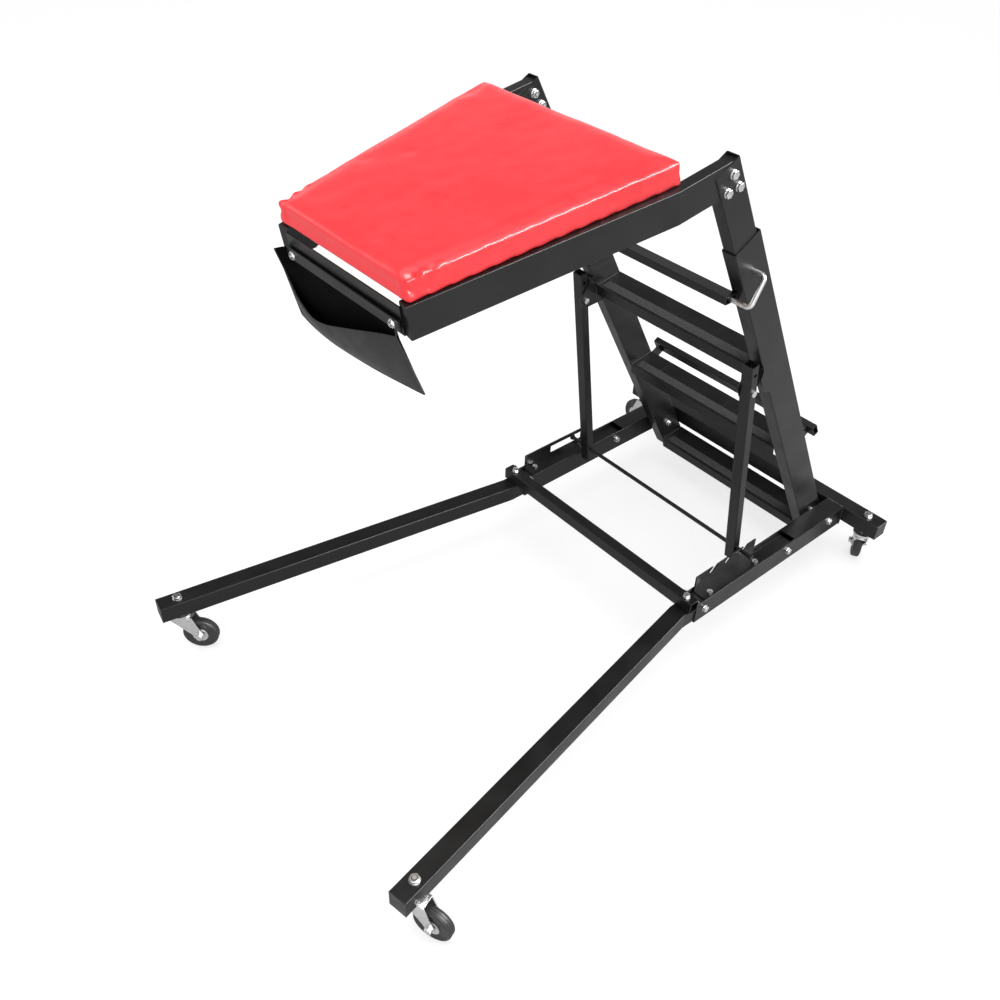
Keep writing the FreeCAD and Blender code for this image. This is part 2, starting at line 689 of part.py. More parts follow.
def strut_bracket():
    """A flange on the upright's front, with an ear for the strut's pin and a short wing."""
    low, high = (f"hook_rise{sign}ear_rise_share*strut_depth" for sign in "-+")
    tip = "-hook_out-ear_end_share*strut_depth"
    ear = plate("x", EAR_IN, EAR_OUT,
                [(UP_FRONT, low), (UP_FRONT, high), (tip, "hook_rise+ear_end_share*strut_depth"),
                 (tip, "hook_rise-ear_end_share*strut_depth")])
    ear = cut(ear, pin("x", HOOK, EAR_IN + "-overrun", EAR_OUT + "+overrun", PIVOT_HOLE))
    flange = box((EAR_IN, WING_IN + "+sheet"), (UP_FRONT + "-sheet", UP_FRONT), (low, high))
    wing_end = f"({UP_FRONT}+wing_share*(-hook_out+strut_depth/2-{UP_FRONT}))"
    wing = plate("x", WING_IN, WING_IN + "+sheet",
                 [(UP_FRONT, low), (UP_FRONT, high), (wing_end, "hook_rise+strut_depth"),
                  (wing_end, "hook_rise-strut_depth")])
    return fuse(ear, flange, wing)


node("strut_brackets", on_ladder(both(strut_bracket())))

# Props, drawn upright about the strut's pin

def on_strut(item):
    """Stand a piece, drawn about the strut's pin, in the leaning props."""
    return put(item, ("0", HOOK_Y, HOOK_Z), (1, 0, 0), STRUT_LEAN)


STRUT_OUT = "(strut_inside+strut_width)"
ROD_AT = ("0", "-strut_reach")


def right_strut():
    """A rectangular tube with a hole for its pin and one for the rod."""
    post = tube(("strut_inside", STRUT_OUT), ("-strut_depth/2", "strut_depth/2"),
                ("-strut_reach-strut_under", "strut_over"), "strut_wall", "z")
    across = ("strut_inside-overrun", STRUT_OUT + "+overrun")
    holes = {("0", "0"): "bolt", ROD_AT: "rod", ("0", "top_hole_share*strut_over"): "bolt"}
    return on_strut(cut(post, *[pin("x", at, *across, size) for at, size in holes.items()]))


strut = node("right_strut", right_strut())
node("left_strut", mirrored(strut))
rod_ends = both(pin("x", ROD_AT, "rod_half", "rod_half+rod/2", "rod_end_share*rod"))
node("strut_rod", on_strut(fuse(pin("x", ROD_AT, "-rod_half", "rod_half", "rod"), rod_ends)))


def strut_pin():
    """The pin that a strut swings on, with a head outside and a clip inside."""
    head = pin("x", ("0", "0"), STRUT_OUT, STRUT_OUT + "+nut_height/2", "nut")
    low = EAR_IN + "-side_gap"
    clip = pin("x", ("0", "0"), f"{low}-nut_height/2", low, "nut")
    return fuse(pin("x", ("0", "0"), low, STRUT_OUT, "bolt"), head, clip)


node("strut_pins", on_strut(both(strut_pin())))

# Mast

TUBE_OUT = "(upright_out-upright_wall-slide_gap)"
TUBE_IN = f"({UP_IN}+upright_wall+slide_gap)"
TUBE_FRONT = "(-upright_depth/2+upright_wall+slide_gap)"
TUBE_REAR = f"({TUBE_FRONT}+inner_depth)"
TUBE_LOW = f"({UP_TOP}-inner_buried)"
TUBE_TOP = "(head_rise+inner_over)"
CHEEKS = (TUBE_IN + "-overrun", TUBE_OUT + "+overrun")
HEAD_BOLTS = [("top_back_share*upright_depth", "head_rise+top_bolt_share*arm_height"),
              ("rear_back_share*upright_depth", "head_rise-rear_bolt_share*arm_height"),
              ("-front_back_share*upright_depth", "head_rise-front_bolt_share*arm_height")]
ARM_OUT = f"({TUBE_OUT}-inner_wall-arm_gap)"
ARM_IN = f"({TUBE_IN}+inner_wall+arm_gap)"
ARM_WIDTH = f"({ARM_OUT}-{ARM_IN})"
ARM_TAPER = f"atan(({ARM_OUT}-arm_front_out)/(arm_reach-arm_bend))"
ARM_TOP = "(arm_height/2)"
ARM_LOW = "(-arm_height/2)"


def right_inner_tube():
    """The tube that slides in an upright, its front cut away at the top for the arm."""
    post = tube((TUBE_IN, TUBE_OUT), (TUBE_FRONT, TUBE_REAR), (TUBE_LOW, TUBE_TOP),
                "inner_wall", "z")
    mouth = box((TUBE_IN + "+inner_wall", TUBE_OUT + "-inner_wall"),
                (TUBE_FRONT + "-overrun", TUBE_FRONT + "+inner_wall+overrun"),
                ("head_rise-mouth_share*arm_height", TUBE_TOP + "+overrun"))
    foot = PIN_RISE + "-slide_travel"
    slot = box(CHEEKS, (f"-{PIN_HOLE}/2", f"{PIN_HOLE}/2"), (foot, PIN_RISE))
    ends = [pin("x", ("0", rise), *CHEEKS, PIN_HOLE) for rise in (foot, PIN_RISE)]
    bolts = [pin("x", at, *CHEEKS, "bolt") for at in HEAD_BOLTS]
    return on_ladder(cut(post, mouth, slot, *ends, *bolts))


inner_tube = node("right_inner_tube", right_inner_tube())
node("left_inner_tube", mirrored(inner_tube))
node("head_bolts", on_ladder(both(group(*[
    bolt("x", at, TUBE_IN, TUBE_OUT, "bolt", "nut", "nut_height") for at in HEAD_BOLTS]))))


def on_arm(item):
    """Place a piece drawn about the place where the arms meet the mast."""
    return put(item, ("0", *leaned("0", "head_rise")), (1, 0, 0), "arm_slope")


def arm_plan(inset, rear, front):
    """An arm's outline from above: straight beside the mast, then tapering to the front."""
    sides = []
    for t in (inset, f"({ARM_WIDTH}-({inset}))"):
        bend_y = f"(-arm_bend+({t})*tan({ARM_TAPER}/2))"
        end_x = f"(arm_front_out-({t})*cos({ARM_TAPER})+({front})*sin({ARM_TAPER}))"
        end_y = f"(-arm_reach+({t})*sin({ARM_TAPER})+({front})*cos({ARM_TAPER}))"
        sides.append([(f"{ARM_OUT}-({t})", rear), (f"{ARM_OUT}-({t})", bend_y), (end_x, end_y)])
    return sides[0] + sides[1][::-1]


def screw_place(share):
    """A place just inside an arm's inner wall, as a share of its taper from the front."""
    run = f"({share}*(arm_reach-arm_bend))"
    x = f"(arm_front_out-{ARM_WIDTH}+arm_wall+pad_screw/2+{run}*tan({ARM_TAPER}))"
    return x, f"(-arm_reach+{run})"


SCREW_SHARES = (0.1, 0.5)
SCREW_HOLES = [screw_place(share) for share in SCREW_SHARES]


def right_arm():
    """A bent rectangular tube that carries the pad."""
    body = extrude(new_body(), "z", ARM_LOW, ARM_TOP, arm_plan("0", UP_REAR, "0"))
    bore = arm_plan("arm_wall", UP_REAR + "+overrun", "arm_wall")
    extrude(body, "z", ARM_LOW + "+arm_wall", ARM_TOP + "-arm_wall", bore, "Pocket")
    holes = [pin("z", at, ARM_LOW + "-overrun", ARM_TOP + "+overrun", "pad_screw")
             for at in SCREW_HOLES]
    arm = on_arm(cut(body, *holes))
    behind = rect((TUBE_REAR + "-inner_wall", "2*upright_depth"),
                  ("head_rise-2*arm_height", "head_rise+2*arm_height"))
    ends = [plate("x", *CHEEKS, behind)]
    ends += [pin("x", at, *CHEEKS, "bolt") for at in HEAD_BOLTS]
    return cut(arm, on_ladder(group(*ends)))


arm = node("right_arm", right_arm())
node("left_arm", mirrored(arm))

PLATE_FRONT = "(-arm_reach)"
PLATE_HALF = f"(arm_front_out-{ARM_WIDTH}*cos({ARM_TAPER}))"
front_box = box((f"-{PLATE_HALF}", PLATE_HALF), (PLATE_FRONT, PLATE_FRONT + "+sheet"),
                (ARM_LOW, "plate_top"))
POUCH_BOLT = ("pouch_bolt_share*pouch_half", "plate_top-strip_drop")
strip_box = box((f"-{PLATE_HALF}", PLATE_HALF),
                (PLATE_FRONT + "-pouch_skin-sheet", PLATE_FRONT + "-pouch_skin"),
                grown((POUCH_BOLT[1], POUCH_BOLT[1]), "strip_height/2"))
THROUGH = (PLATE_FRONT + "-pouch_skin-sheet", PLATE_FRONT + "+sheet")
node("front_plate", on_arm(cut(front_box, both(pin("y", POUCH_BOLT, *THROUGH, "screw")))))
node("pouch_strip", on_arm(cut(strip_box, both(pin("y", POUCH_BOLT, *THROUGH, "screw")))))


def pouch_bolt():
    """A screw through the strip, the pouch and the plate."""
    head = hexagon("y", POUCH_BOLT, f"{THROUGH[0]}-screw/2", THROUGH[0], "2*screw")
    back = hexagon("y", POUCH_BOLT, THROUGH[1], f"{THROUGH[1]}+screw/2", "2*screw")
    return fuse(pin("y", POUCH_BOLT, *THROUGH, "screw"), head, back)


node("pouch_bolts", on_arm(both(pouch_bolt())))

# Pad

PAD_FRONT = "(-pad_rear-pad_length)"


def trapezoid(inset):
    """The pad's outline from above, with its sides moved in."""
    return [(f"-(pad_front_half-{inset})", f"{PAD_FRONT}+{inset}"),
            (f"pad_front_half-{inset}", f"{PAD_FRONT}+{inset}"),
            (f"pad_rear_half-{inset}", f"-pad_rear-{inset}"),
            (f"-(pad_rear_half-{inset})", f"-pad_rear-{inset}")]


BOARD = (ARM_TOP, ARM_TOP + "+board")
board_body = plate("z", *BOARD, trapezoid("board_inset"))
screw_pins = [pin("z", at, ARM_LOW, BOARD[1], "pad_screw") for at in SCREW_HOLES]
node("pad_board", on_arm(cut(board_body, both(group(*screw_pins)))))
screw_heads = [pin("z", at, ARM_LOW + "-pad_screw/2", ARM_LOW, "2*pad_screw")
               for at in SCREW_HOLES]
node("pad_screws", on_arm(both(group(*[fuse(*pair) for pair in zip(screw_pins, screw_heads)]))))


def pad_section(share, squeeze):
    """A cross-section of the cushion: flat below, drawn-in sides and a crowned top."""
    rear, front = value("pad_rear_half"), value("pad_front_half")
    draw, thick = value("pad_draw"), value("pad_thick")
    half = front + (rear - front) * share - squeeze * draw
    y = value(PAD_FRONT) + value("pad_length") * share
    low, high = value(ARM_TOP) + squeeze * draw, value(ARM_TOP) + thick - squeeze * draw
    crown = value("pad_crown") * 4 * share * (1 - share)
    middle = (low + high) / 2

    def at(x, z):
        return FreeCAD.Vector(x, y, z)

    inner = half - draw
    edges = [Part.LineSegment(at(-inner, low), at(inner, low)),
             Part.Arc(at(inner, low), at(half, middle), at(inner, high)),
             Part.Arc(at(inner, high), at(0, high + crown + draw / 2), at(-inner, high)),
             Part.Arc(at(-inner, high), at(-half, middle), at(-inner, low))]
    return Part.Wire([edge.toShape() for edge in edges])


PAD_SHARES = (0.0, 0.02, 0.5, 0.98, 1.0)
PAD_SQUEEZE_SHARES = (1.0, 0.0, 0.0, 0.0, 1.0)


def cushion():
    """The vinyl-covered pad, crowned above and drawn in round its sides, over its board."""
    sections = [pad_section(*pair) for pair in zip(PAD_SHARES, PAD_SQUEEZE_SHARES)]
    soft = doc.addObject("Part::Feature", "soft")
    soft.Shape = Part.makeLoft(sections, True, True)
    recess = plate("z", BOARD[0] + "-overrun", BOARD[1], trapezoid("board_inset"))
    screws = [pin("z", at, ARM_LOW, BOARD[1], "pad_screw") for at in SCREW_HOLES]
    return on_arm(cut(soft, recess, both(group(*screws))))


node("cushion", cushion())


POUCH_SHARES = (-1.0, -0.5, 0.0, 0.5, 1.0)


def pouch_form(skin, lift):
    """The pouch's form, or with a skin the space in it, narrow at its ends and open between."""
    half, mouth = value("pouch_half"), value("pouch_open")
    drop, dip = value("pouch_end_drop"), value("pouch_dip")
    top = value("plate_top-pouch_below")
    foot = top - value("pouch_drop") + 2 * skin
    back = value(PLATE_FRONT) - skin
    sections = []
    for share in POUCH_SHARES:
        bulge = 1 - share * share
        out = value(PLATE_FRONT) - value("pouch_end") - (mouth - value("pouch_end")) * bulge + skin
        rim = top - drop - (dip - drop) * bulge
        toe = back - value("pouch_end") / 2 + skin
        corners = [(back, top + lift), (back, foot), (toe, foot), (out, rim)]
        if lift:
            corners.append((out, top + lift))
        points = [FreeCAD.Vector(share * (half - skin), y, z) for y, z in corners]
        sections.append(Part.makePolygon(points + points[:1]))
    return Part.makeLoft(sections, True, True)


def tool_pouch():
    """A vinyl pocket, flat at the back, that stands open at the front."""
    form = doc.addObject("Part::Feature", "form")
    form.Shape = pouch_form(0, 0)
    space = doc.addObject("Part::Feature", "space")
    space.Shape = pouch_form(value("pouch_skin"), value("overrun"))
    return on_arm(cut(form, space, both(pin("y", POUCH_BOLT, *THROUGH, "screw"))))


node("tool_pouch", tool_pouch())

# Lock pins, drawn in the ladder's own frame

TIP_Y = f"({UP_FRONT}-top_bar_depth/2*cos(lean)-top_bar_height/2*sin(lean))"
TIP_Z = f"({BAR_RISE}+top_bar_depth/2*sin(lean)-top_bar_height/2*cos(lean))"
GRIP_X = "(upright_out+pin_grip)"


def lock_pin():
    """A round bar bent to a U: its long leg locks the mast, its short one sits in the top bar."""
    long_leg = pin("x", ("0", PIN_RISE), UP_IN + "-pin", GRIP_X, "pin")
    short_leg = pin("x", (TIP_Y, TIP_Z), "top_bar_half-pin_hold_share*pin", GRIP_X, "pin")
    run = doc.addObject("Part::Cylinder", "run")
    rise = f"({PIN_RISE}-{TIP_Z})"
    bind(run, Radius="pin/2", Height=f"sqrt({TIP_Y}*{TIP_Y}+{rise}*{rise})")
    put(run, (GRIP_X, TIP_Y, TIP_Z), (1, 0, 0), f"atan({TIP_Y}/{rise})")
    corners = []
    for at in (("0", PIN_RISE), (TIP_Y, TIP_Z)):
        ball = doc.addObject("Part::Sphere", "ball")
        bind(ball, Radius="pin/2")
        corners.append(put(ball, (GRIP_X, *at)))
    return on_ladder(fuse(long_leg, short_leg, run, *corners))


locking = node("right_lock_pin", lock_pin())
node("left_lock_pin", mirrored(locking))

# Casters, drawn about the swivel axis with the wheel trailing to +Y

RACE_TOP = "mount_height"
RACE_LOW = "(mount_height-race_height/2+side_gap/2)"
CROWN_TOP = "(mount_height-race_height)"
CROWN_LOW = "(mount_height-race_height-fork_sheet)"
AXLE = ("caster_trail", "wheel_diameter/2")
FORK_IN = "(wheel_width/2+fork_gap)"
FORK_OUT = "(wheel_width/2+fork_gap+fork_sheet)"
CASTERS = {
    "front_right": (*FRONT_CASTER, "front_right_turn", LEG_TOP),
    "front_left": ("-" + FRONT_CASTER[0], FRONT_CASTER[1], "front_left_turn", LEG_TOP),
    "rear_right": (*REAR_CASTER, "rear_right_turn", BAR_TOP),
    "rear_left": ("-rear_caster_out", REAR_CASTER[1], "rear_left_turn", BAR_TOP),
}


def caster_stem(x, y, top):
    """A threaded stem with its nut above, the upper race and the head of the king pin."""
    at = (x, y)
    low = CROWN_LOW + "-side_gap"
    parts = [pin("z", at, low, top + "+nut_height", "stem_diameter"),
             pin("z", at, RACE_LOW + "+side_gap", RACE_TOP, "race_diameter"),
             pin("z", at, f"{low}-fork_sheet", low, "king_share*stem_diameter"),
             hexagon("z", at, top, f"{top}+nut_height", "stem_nut_share*stem_diameter")]
    if top == BAR_TOP:
        parts.append(pin("z", at, RACE_TOP, BAR_LOW, "stem_collar_share*stem_diameter"))
    return fuse(*parts)


def on_caster(item, x, y, turn):
    """Place a piece at a caster's swivel axis, turned to its heading."""
    return put(item, (x, y, "0"), (0, 0, 1), turn)


def fork(x, y, turn):
    """The lower race, the crown and the two legs that hold the axle."""
    race = pin("z", ("0", "0"), CROWN_TOP, RACE_LOW, "race_low_share*race_diameter")
    span = ("-fork_width", "crown_share*fork_width")
    crown = box((f"-{FORK_OUT}", FORK_OUT), span, (CROWN_LOW, CROWN_TOP))
    y0, z0 = AXLE
    eye = "(eye_share*caster_axle)"
    side = [(span[0], CROWN_TOP), (span[0], CROWN_LOW + "-fork_sheet"),
            (f"{y0}-{eye}", z0), (f"{y0}-{eye}/2", f"{z0}-{eye}*eye_low_share"),
            (f"{y0}+{eye}/2", f"{z0}-{eye}*eye_low_share"), (f"{y0}+{eye}", z0),
            (span[1], CROWN_TOP)]
    leg = cut(plate("x", FORK_IN, FORK_OUT, side),
              pin("x", AXLE, "0", FORK_OUT + "+overrun", "caster_axle"))
    bore = pin("z", ("0", "0"), CROWN_LOW + "-overrun", RACE_LOW + "+overrun", STEM_HOLE)
    return on_caster(cut(fuse(race, crown, both(leg)), bore), x, y, turn)


def wheel(x, y, turn):
    """A solid wheel with a bore, and hub faces that stand out a little."""
    tread = pin("x", AXLE, "-wheel_width/2", "wheel_width/2", "wheel_diameter")
    face = "(wheel_width/2+fork_gap/2)"
    hub = pin("x", AXLE, "-" + face, face, "hub_share*caster_axle")
    bore = pin("x", AXLE, "-wheel_width", "wheel_width", AXLE_HOLE)
    return on_caster(cut(fuse(tread, hub), bore), x, y, turn)


def axle(x, y, turn):
    """The bolt that the wheel rolls on."""
    turned = bolt("x", AXLE, "-" + FORK_OUT, FORK_OUT, "caster_axle", "nut", "nut_height")
    return on_caster(group(turned), x, y, turn)


node("caster_stems", group(*[caster_stem(x, y, top) for x, y, turn, top in CASTERS.values()]))
for place, (x, y, turn, top) in CASTERS.items():
    node(place + "_fork", fork(x, y, turn))
    node(place + "_wheel", wheel(x, y, turn))
    node(place + "_axle", axle(x, y, turn))


def faults():
    """What the document could not build."""
    doc.recompute()
    bad = [f"{item.Label}: {item.State}" for item in doc.Objects
           if "Invalid" in item.State or "Error" in item.State]
    for label, item in NODES.items():
        if item.Shape.isNull() or not item.Shape.isValid() or not item.Shape.Solids:
            bad.append(f"{label}: no valid solid")
    return bad


broken = faults()
if broken:
    raise RuntimeError("not built: " + "; ".join(broken))
os.makedirs("parts", exist_ok=True)
for label, item in NODES.items():
    solids = item.Shape.Solids
    whole = Part.makeCompound(solids) if len(solids) > 1 else solids[0]
    whole.exportStep(os.path.join("parts", label + ".step"))
    print(f"{label}: {len(solids)} solids, {whole.Volume / 1000:.1f} cm3")
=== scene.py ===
"""Looks of the chest-support creeper: enamelled tube frame, zinc fittings, vinyl pad and pouch.

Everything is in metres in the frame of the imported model: X to the side, -Y to the front, Z up.
"""

import json
import logging
import math
from collections.abc import Callable, Iterable
from dataclasses import dataclass
from enum import Enum

import bmesh
import bpy
from mathutils import Matrix, Vector, noise
from mathutils.bvhtree import BVHTree


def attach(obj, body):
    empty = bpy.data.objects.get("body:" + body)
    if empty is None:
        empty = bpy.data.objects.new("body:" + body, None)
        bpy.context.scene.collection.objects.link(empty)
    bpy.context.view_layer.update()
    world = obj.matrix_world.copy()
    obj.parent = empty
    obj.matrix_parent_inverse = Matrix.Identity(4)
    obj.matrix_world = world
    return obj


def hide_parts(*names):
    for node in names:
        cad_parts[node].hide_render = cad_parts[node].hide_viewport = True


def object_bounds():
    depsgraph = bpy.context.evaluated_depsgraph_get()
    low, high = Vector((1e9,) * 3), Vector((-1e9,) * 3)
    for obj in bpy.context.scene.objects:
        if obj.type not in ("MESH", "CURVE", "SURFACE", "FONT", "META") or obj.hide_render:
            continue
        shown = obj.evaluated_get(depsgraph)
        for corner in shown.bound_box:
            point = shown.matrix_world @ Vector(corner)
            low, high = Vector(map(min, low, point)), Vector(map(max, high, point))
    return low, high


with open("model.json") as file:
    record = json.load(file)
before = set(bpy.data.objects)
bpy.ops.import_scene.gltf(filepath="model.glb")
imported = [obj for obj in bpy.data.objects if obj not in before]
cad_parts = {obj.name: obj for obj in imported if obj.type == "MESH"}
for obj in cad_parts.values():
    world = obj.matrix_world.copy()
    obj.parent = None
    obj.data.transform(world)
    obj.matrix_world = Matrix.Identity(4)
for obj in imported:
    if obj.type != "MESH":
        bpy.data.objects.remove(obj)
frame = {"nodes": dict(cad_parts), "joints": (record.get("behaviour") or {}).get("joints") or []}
CAD_BOX = [list(corner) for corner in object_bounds()]
LOG = logging.getLogger("creeper")
MM = 0.001
WELD = 0.01 * MM
FLAT = math.radians(0.5)
SHARP = math.radians(40)


class Body(str, Enum):
    """The moving bodies that pieces ride on."""

    BASE = "base"
    LADDER = "ladder"
    PROPS = "props"
    MAST = "mast"
    RIGHT_PIN = "right_pin"
    LEFT_PIN = "left_pin"


class Slot(str, Enum):
    """The record's material slots."""

    ENAMEL = "black_enamel"
    ZINC = "zinc_plate"
    PLASTIC = "black_plastic"
    RUBBER = "wheel_rubber"
    RED_VINYL = "red_vinyl"
    BLACK_VINYL = "black_vinyl"
    PLYWOOD = "plywood"
    GRIP = "grip_tape"
    LINING = "pouch_lining"


# Node-graph helpers

RANGE = ("From Min", "From Max", "To Min", "To Max")


def new_nodes(nodes: bpy.types.Nodes, *kinds: str) -> list[bpy.types.Node]:
    """Add a shader node of each kind."""
    return [nodes.new("ShaderNode" + kind) for kind in kinds]


class Graph:
    """A material under construction, with short ways to add and join its nodes."""

    def __init__(self, name: str) -> None:
        """Start a material with one Principled shader.

        Args:
            name: The material's name.
        """
        self.material = bpy.data.materials.new(name)
        self.material.use_nodes = True
        self.nodes = self.material.node_tree.nodes
        self.links = self.material.node_tree.links
        self.shader = self.nodes["Principled BSDF"]
        self.coords = self.nodes.new("ShaderNodeTexCoord")

    def set(self, **values: object) -> None:
        """Set the shader's own sockets, with underscores for spaces in their names."""
        for name, value in values.items():
            self.shader.inputs[name.replace("_", " ")].default_value = value

    def noise(self, scale: float, detail: float = 4.0, rough: float = 0.55,
              stretch: tuple[float, float, float] = (1.0, 1.0, 1.0)) -> bpy.types.NodeSocket:
        """Add a noise on the piece's own coordinates.

        Args:
            scale: Cells in a metre.
            detail: Octaves.
            rough: Strength of the finer octaves.
            stretch: Scale of each axis.

        Returns:
            The noise's value socket.
        """
        place, texture = new_nodes(self.nodes, "Mapping", "TexNoise")
        place.inputs["Scale"].default_value = stretch
        self.links.new(self.coords.outputs["Object"], place.inputs["Vector"])
        for name, number in (("Scale", scale), ("Detail", detail), ("Roughness", rough)):
            texture.inputs[name].default_value = number
        self.links.new(place.outputs["Vector"], texture.inputs["Vector"])
        return texture.outputs["Fac"]

    def cells(self, scale: float) -> bpy.types.NodeSocket:
        """Add a cell pattern on the piece's own coordinates and return its distance socket.

        Args:
            scale: Cells in a metre.

        Returns:
            The pattern's distance socket.
        """
        texture = self.nodes.new("ShaderNodeTexVoronoi")
        texture.inputs["Scale"].default_value = scale
        self.links.new(self.coords.outputs["Object"], texture.inputs["Vector"])
        return texture.outputs["Distance"]

    def spread(self, value: bpy.types.NodeSocket, low: float, high: float,
               start: float = 0.3, end: float = 0.7) -> bpy.types.NodeSocket:
        """Map a pattern's value from start..end to low..high.

        Args:
            value: The pattern.
            low: What its start becomes.
            high: What its end becomes.
            start: Where the range starts in the pattern.
            end: Where it ends.

        Returns:
            The mapped value.
        """
        ramp = self.nodes.new("ShaderNodeMapRange")
        for name, number in zip(RANGE, (start, end, low, high)):
            ramp.inputs[name].default_value = number
        self.links.new(value, ramp.inputs["Value"])
        return ramp.outputs["Result"]

    def mix(self, share: bpy.types.NodeSocket, first: tuple, second: tuple) -> bpy.types.NodeSocket:
        """Mix two colours by a share and return the colour socket.

        Args:
            share: The share of the second.
            first: One colour.
            second: The other.

        Returns:
            The colour socket.
        """
        node = self.nodes.new("ShaderNodeMix")
        node.data_type = "RGBA"
        node.inputs["A"].default_value = (*first, 1.0)
        node.inputs["B"].default_value = (*second, 1.0)
        self.links.new(share, node.inputs["Factor"])
        return node.outputs["Result"]

    def feed(self, name: str, socket: bpy.types.NodeSocket) -> None:
        """Join a socket to one of the shader's inputs."""
        self.links.new(socket, self.shader.inputs[name])

    def tint(self, pattern: bpy.types.NodeSocket, first: tuple, second: tuple,
             start: float = 0.3, end: float = 0.7) -> None:
        """Let a pattern turn the colour from the first to the second."""
        self.feed("Base Color", self.mix(self.spread(pattern, 0.0, 1.0, start, end), first, second))

    def rough(self, pattern: bpy.types.NodeSocket, middle: float, below: float,
              above: float) -> None:
        """Let a pattern vary the roughness about its middle."""
        self.feed("Roughness", self.spread(pattern, middle - below, middle + above))

    def bump(self, heights: list[tuple[bpy.types.NodeSocket, float, float]]) -> None:
        """Chain bumps onto the shader.

        Args:
            heights: Pattern, strength and height in metres of each bump.
        """
        last = None
        for pattern, strength, height in heights:
            node = self.nodes.new("ShaderNodeBump")
            node.inputs["Strength"].default_value = strength
            node.inputs["Distance"].default_value = height
            self.links.new(pattern, node.inputs["Height"])
            if last:
                self.links.new(last, node.inputs["Normal"])
            last = node.outputs["Normal"]
        self.feed("Normal", last)


Rgb = tuple[float, float, float]


@dataclass(frozen=True)
class Enamel:
    """Semi-gloss baked enamel on steel: faint orange peel, dull patches and rubbed scratches."""

    name: str = "black_enamel_finish"
    colour: Rgb = (0.0055, 0.0055, 0.0058)
    rubbed: Rgb = (0.016, 0.016, 0.017)
    roughness: float = 0.34

    def make(self) -> bpy.types.Material:
        """Build the material.

        Returns:
            The material.
        """
        g = Graph(self.name)
        g.set(Specular_IOR_Level=0.36)
        scratches = g.noise(60.0, 3.0, 0.6, (1.0, 0.06, 1.0))
        g.tint(scratches, self.colour, self.rubbed, 0.62, 0.8)
        g.rough(g.noise(14.0, 5.0), self.roughness, 0.05, 0.09)
        g.bump([(g.noise(900.0, 2.0), 0.08, 0.0003), (g.noise(25.0, 2.0), 0.06, 0.002)])
        return g.material


@dataclass(frozen=True)
class Zinc:
    """Bright zinc plate with a faint tint and fine roughness."""

    name: str = "zinc_finish"
    colour: Rgb = (0.74, 0.75, 0.77)
    shade: Rgb = (0.62, 0.62, 0.60)
    roughness: float = 0.27

    def make(self) -> bpy.types.Material:
        """Build the material.

        Returns:
            The material.
        """
        g = Graph(self.name)
        g.set(Metallic=1.0)
        g.tint(g.noise(70.0, 4.0), self.colour, self.shade)
        g.rough(g.noise(60.0, 3.0), self.roughness, 0.04, 0.06)
        g.bump([(g.noise(1500.0, 2.0), 0.02, 0.0001)])
        return g.material


@dataclass(frozen=True)
class Vinyl:
    """Calendered vinyl over foam or as sheet: fine grain, soft creases and gloss that varies."""

    name: str
    colour: Rgb
    shade: Rgb
    roughness: float
    crease: float
    coat: float = 0.1
    specular: float = 0.4

    def make(self) -> bpy.types.Material:
        """Build the material.

        Returns:
            The material.
        """
        g = Graph(self.name)
        g.set(Coat_Weight=self.coat, Coat_Roughness=0.2, Specular_IOR_Level=self.specular)
        g.tint(g.noise(9.0, 5.0), self.colour, self.shade)
        g.rough(g.noise(45.0, 4.0), self.roughness, 0.06, 0.08)
        g.bump([(g.noise(600.0, 2.0), 0.05, 0.0003),
                (g.noise(22.0, 3.0, 0.5, (1.0, 2.4, 1.0)), self.crease, 0.004)])
        return g.material


@dataclass(frozen=True)
class Moulded:
    """A plain moulded polymer with a fine even texture."""

    name: str
    colour: Rgb
    worn: Rgb
    roughness: float = 0.5

    def make(self) -> bpy.types.Material:
        """Build the material.

        Returns:
            The material.
        """
        g = Graph(self.name)
        g.tint(g.noise(35.0, 5.0), self.colour, self.worn, 0.45, 0.75)
        g.rough(g.noise(90.0, 4.0), self.roughness, 0.07, 0.09)
        g.bump([(g.noise(700.0, 2.0), 0.15, 0.0004)])
        return g.material


@dataclass(frozen=True)
class GripTape:
    """Coarse grit in black resin, with a few glinting grains."""

    name: str = "grip_tape_finish"
    colour: Rgb = (0.012, 0.012, 0.0125)
    glint: Rgb = (0.05, 0.05, 0.052)

    def make(self) -> bpy.types.Material:
        """Build the material.

        Returns:
            The material.
        """
        g = Graph(self.name)
        g.set(Roughness=0.9)
        grit = g.cells(1100.0)
        g.feed("Base Color", g.mix(g.spread(grit, 1.0, 0.0, 0.05, 0.3), self.colour, self.glint))
        g.bump([(grit, 0.9, 0.0008)])
        return g.material


@dataclass(frozen=True)
class Plywood:
    """Raw plywood with long grain."""

    name: str = "plywood_finish"
    light: Rgb = (0.50, 0.35, 0.20)
    dark: Rgb = (0.33, 0.21, 0.11)

    def make(self) -> bpy.types.Material:
        """Build the material.

        Returns:
            The material.
        """
        g = Graph(self.name)
        g.set(Roughness=0.72)
        grain = g.noise(14.0, 8.0, 0.65, (9.0, 1.0, 1.0))
        g.tint(grain, self.light, self.dark)
        g.bump([(grain, 0.25, 0.0008)])
        return g.material


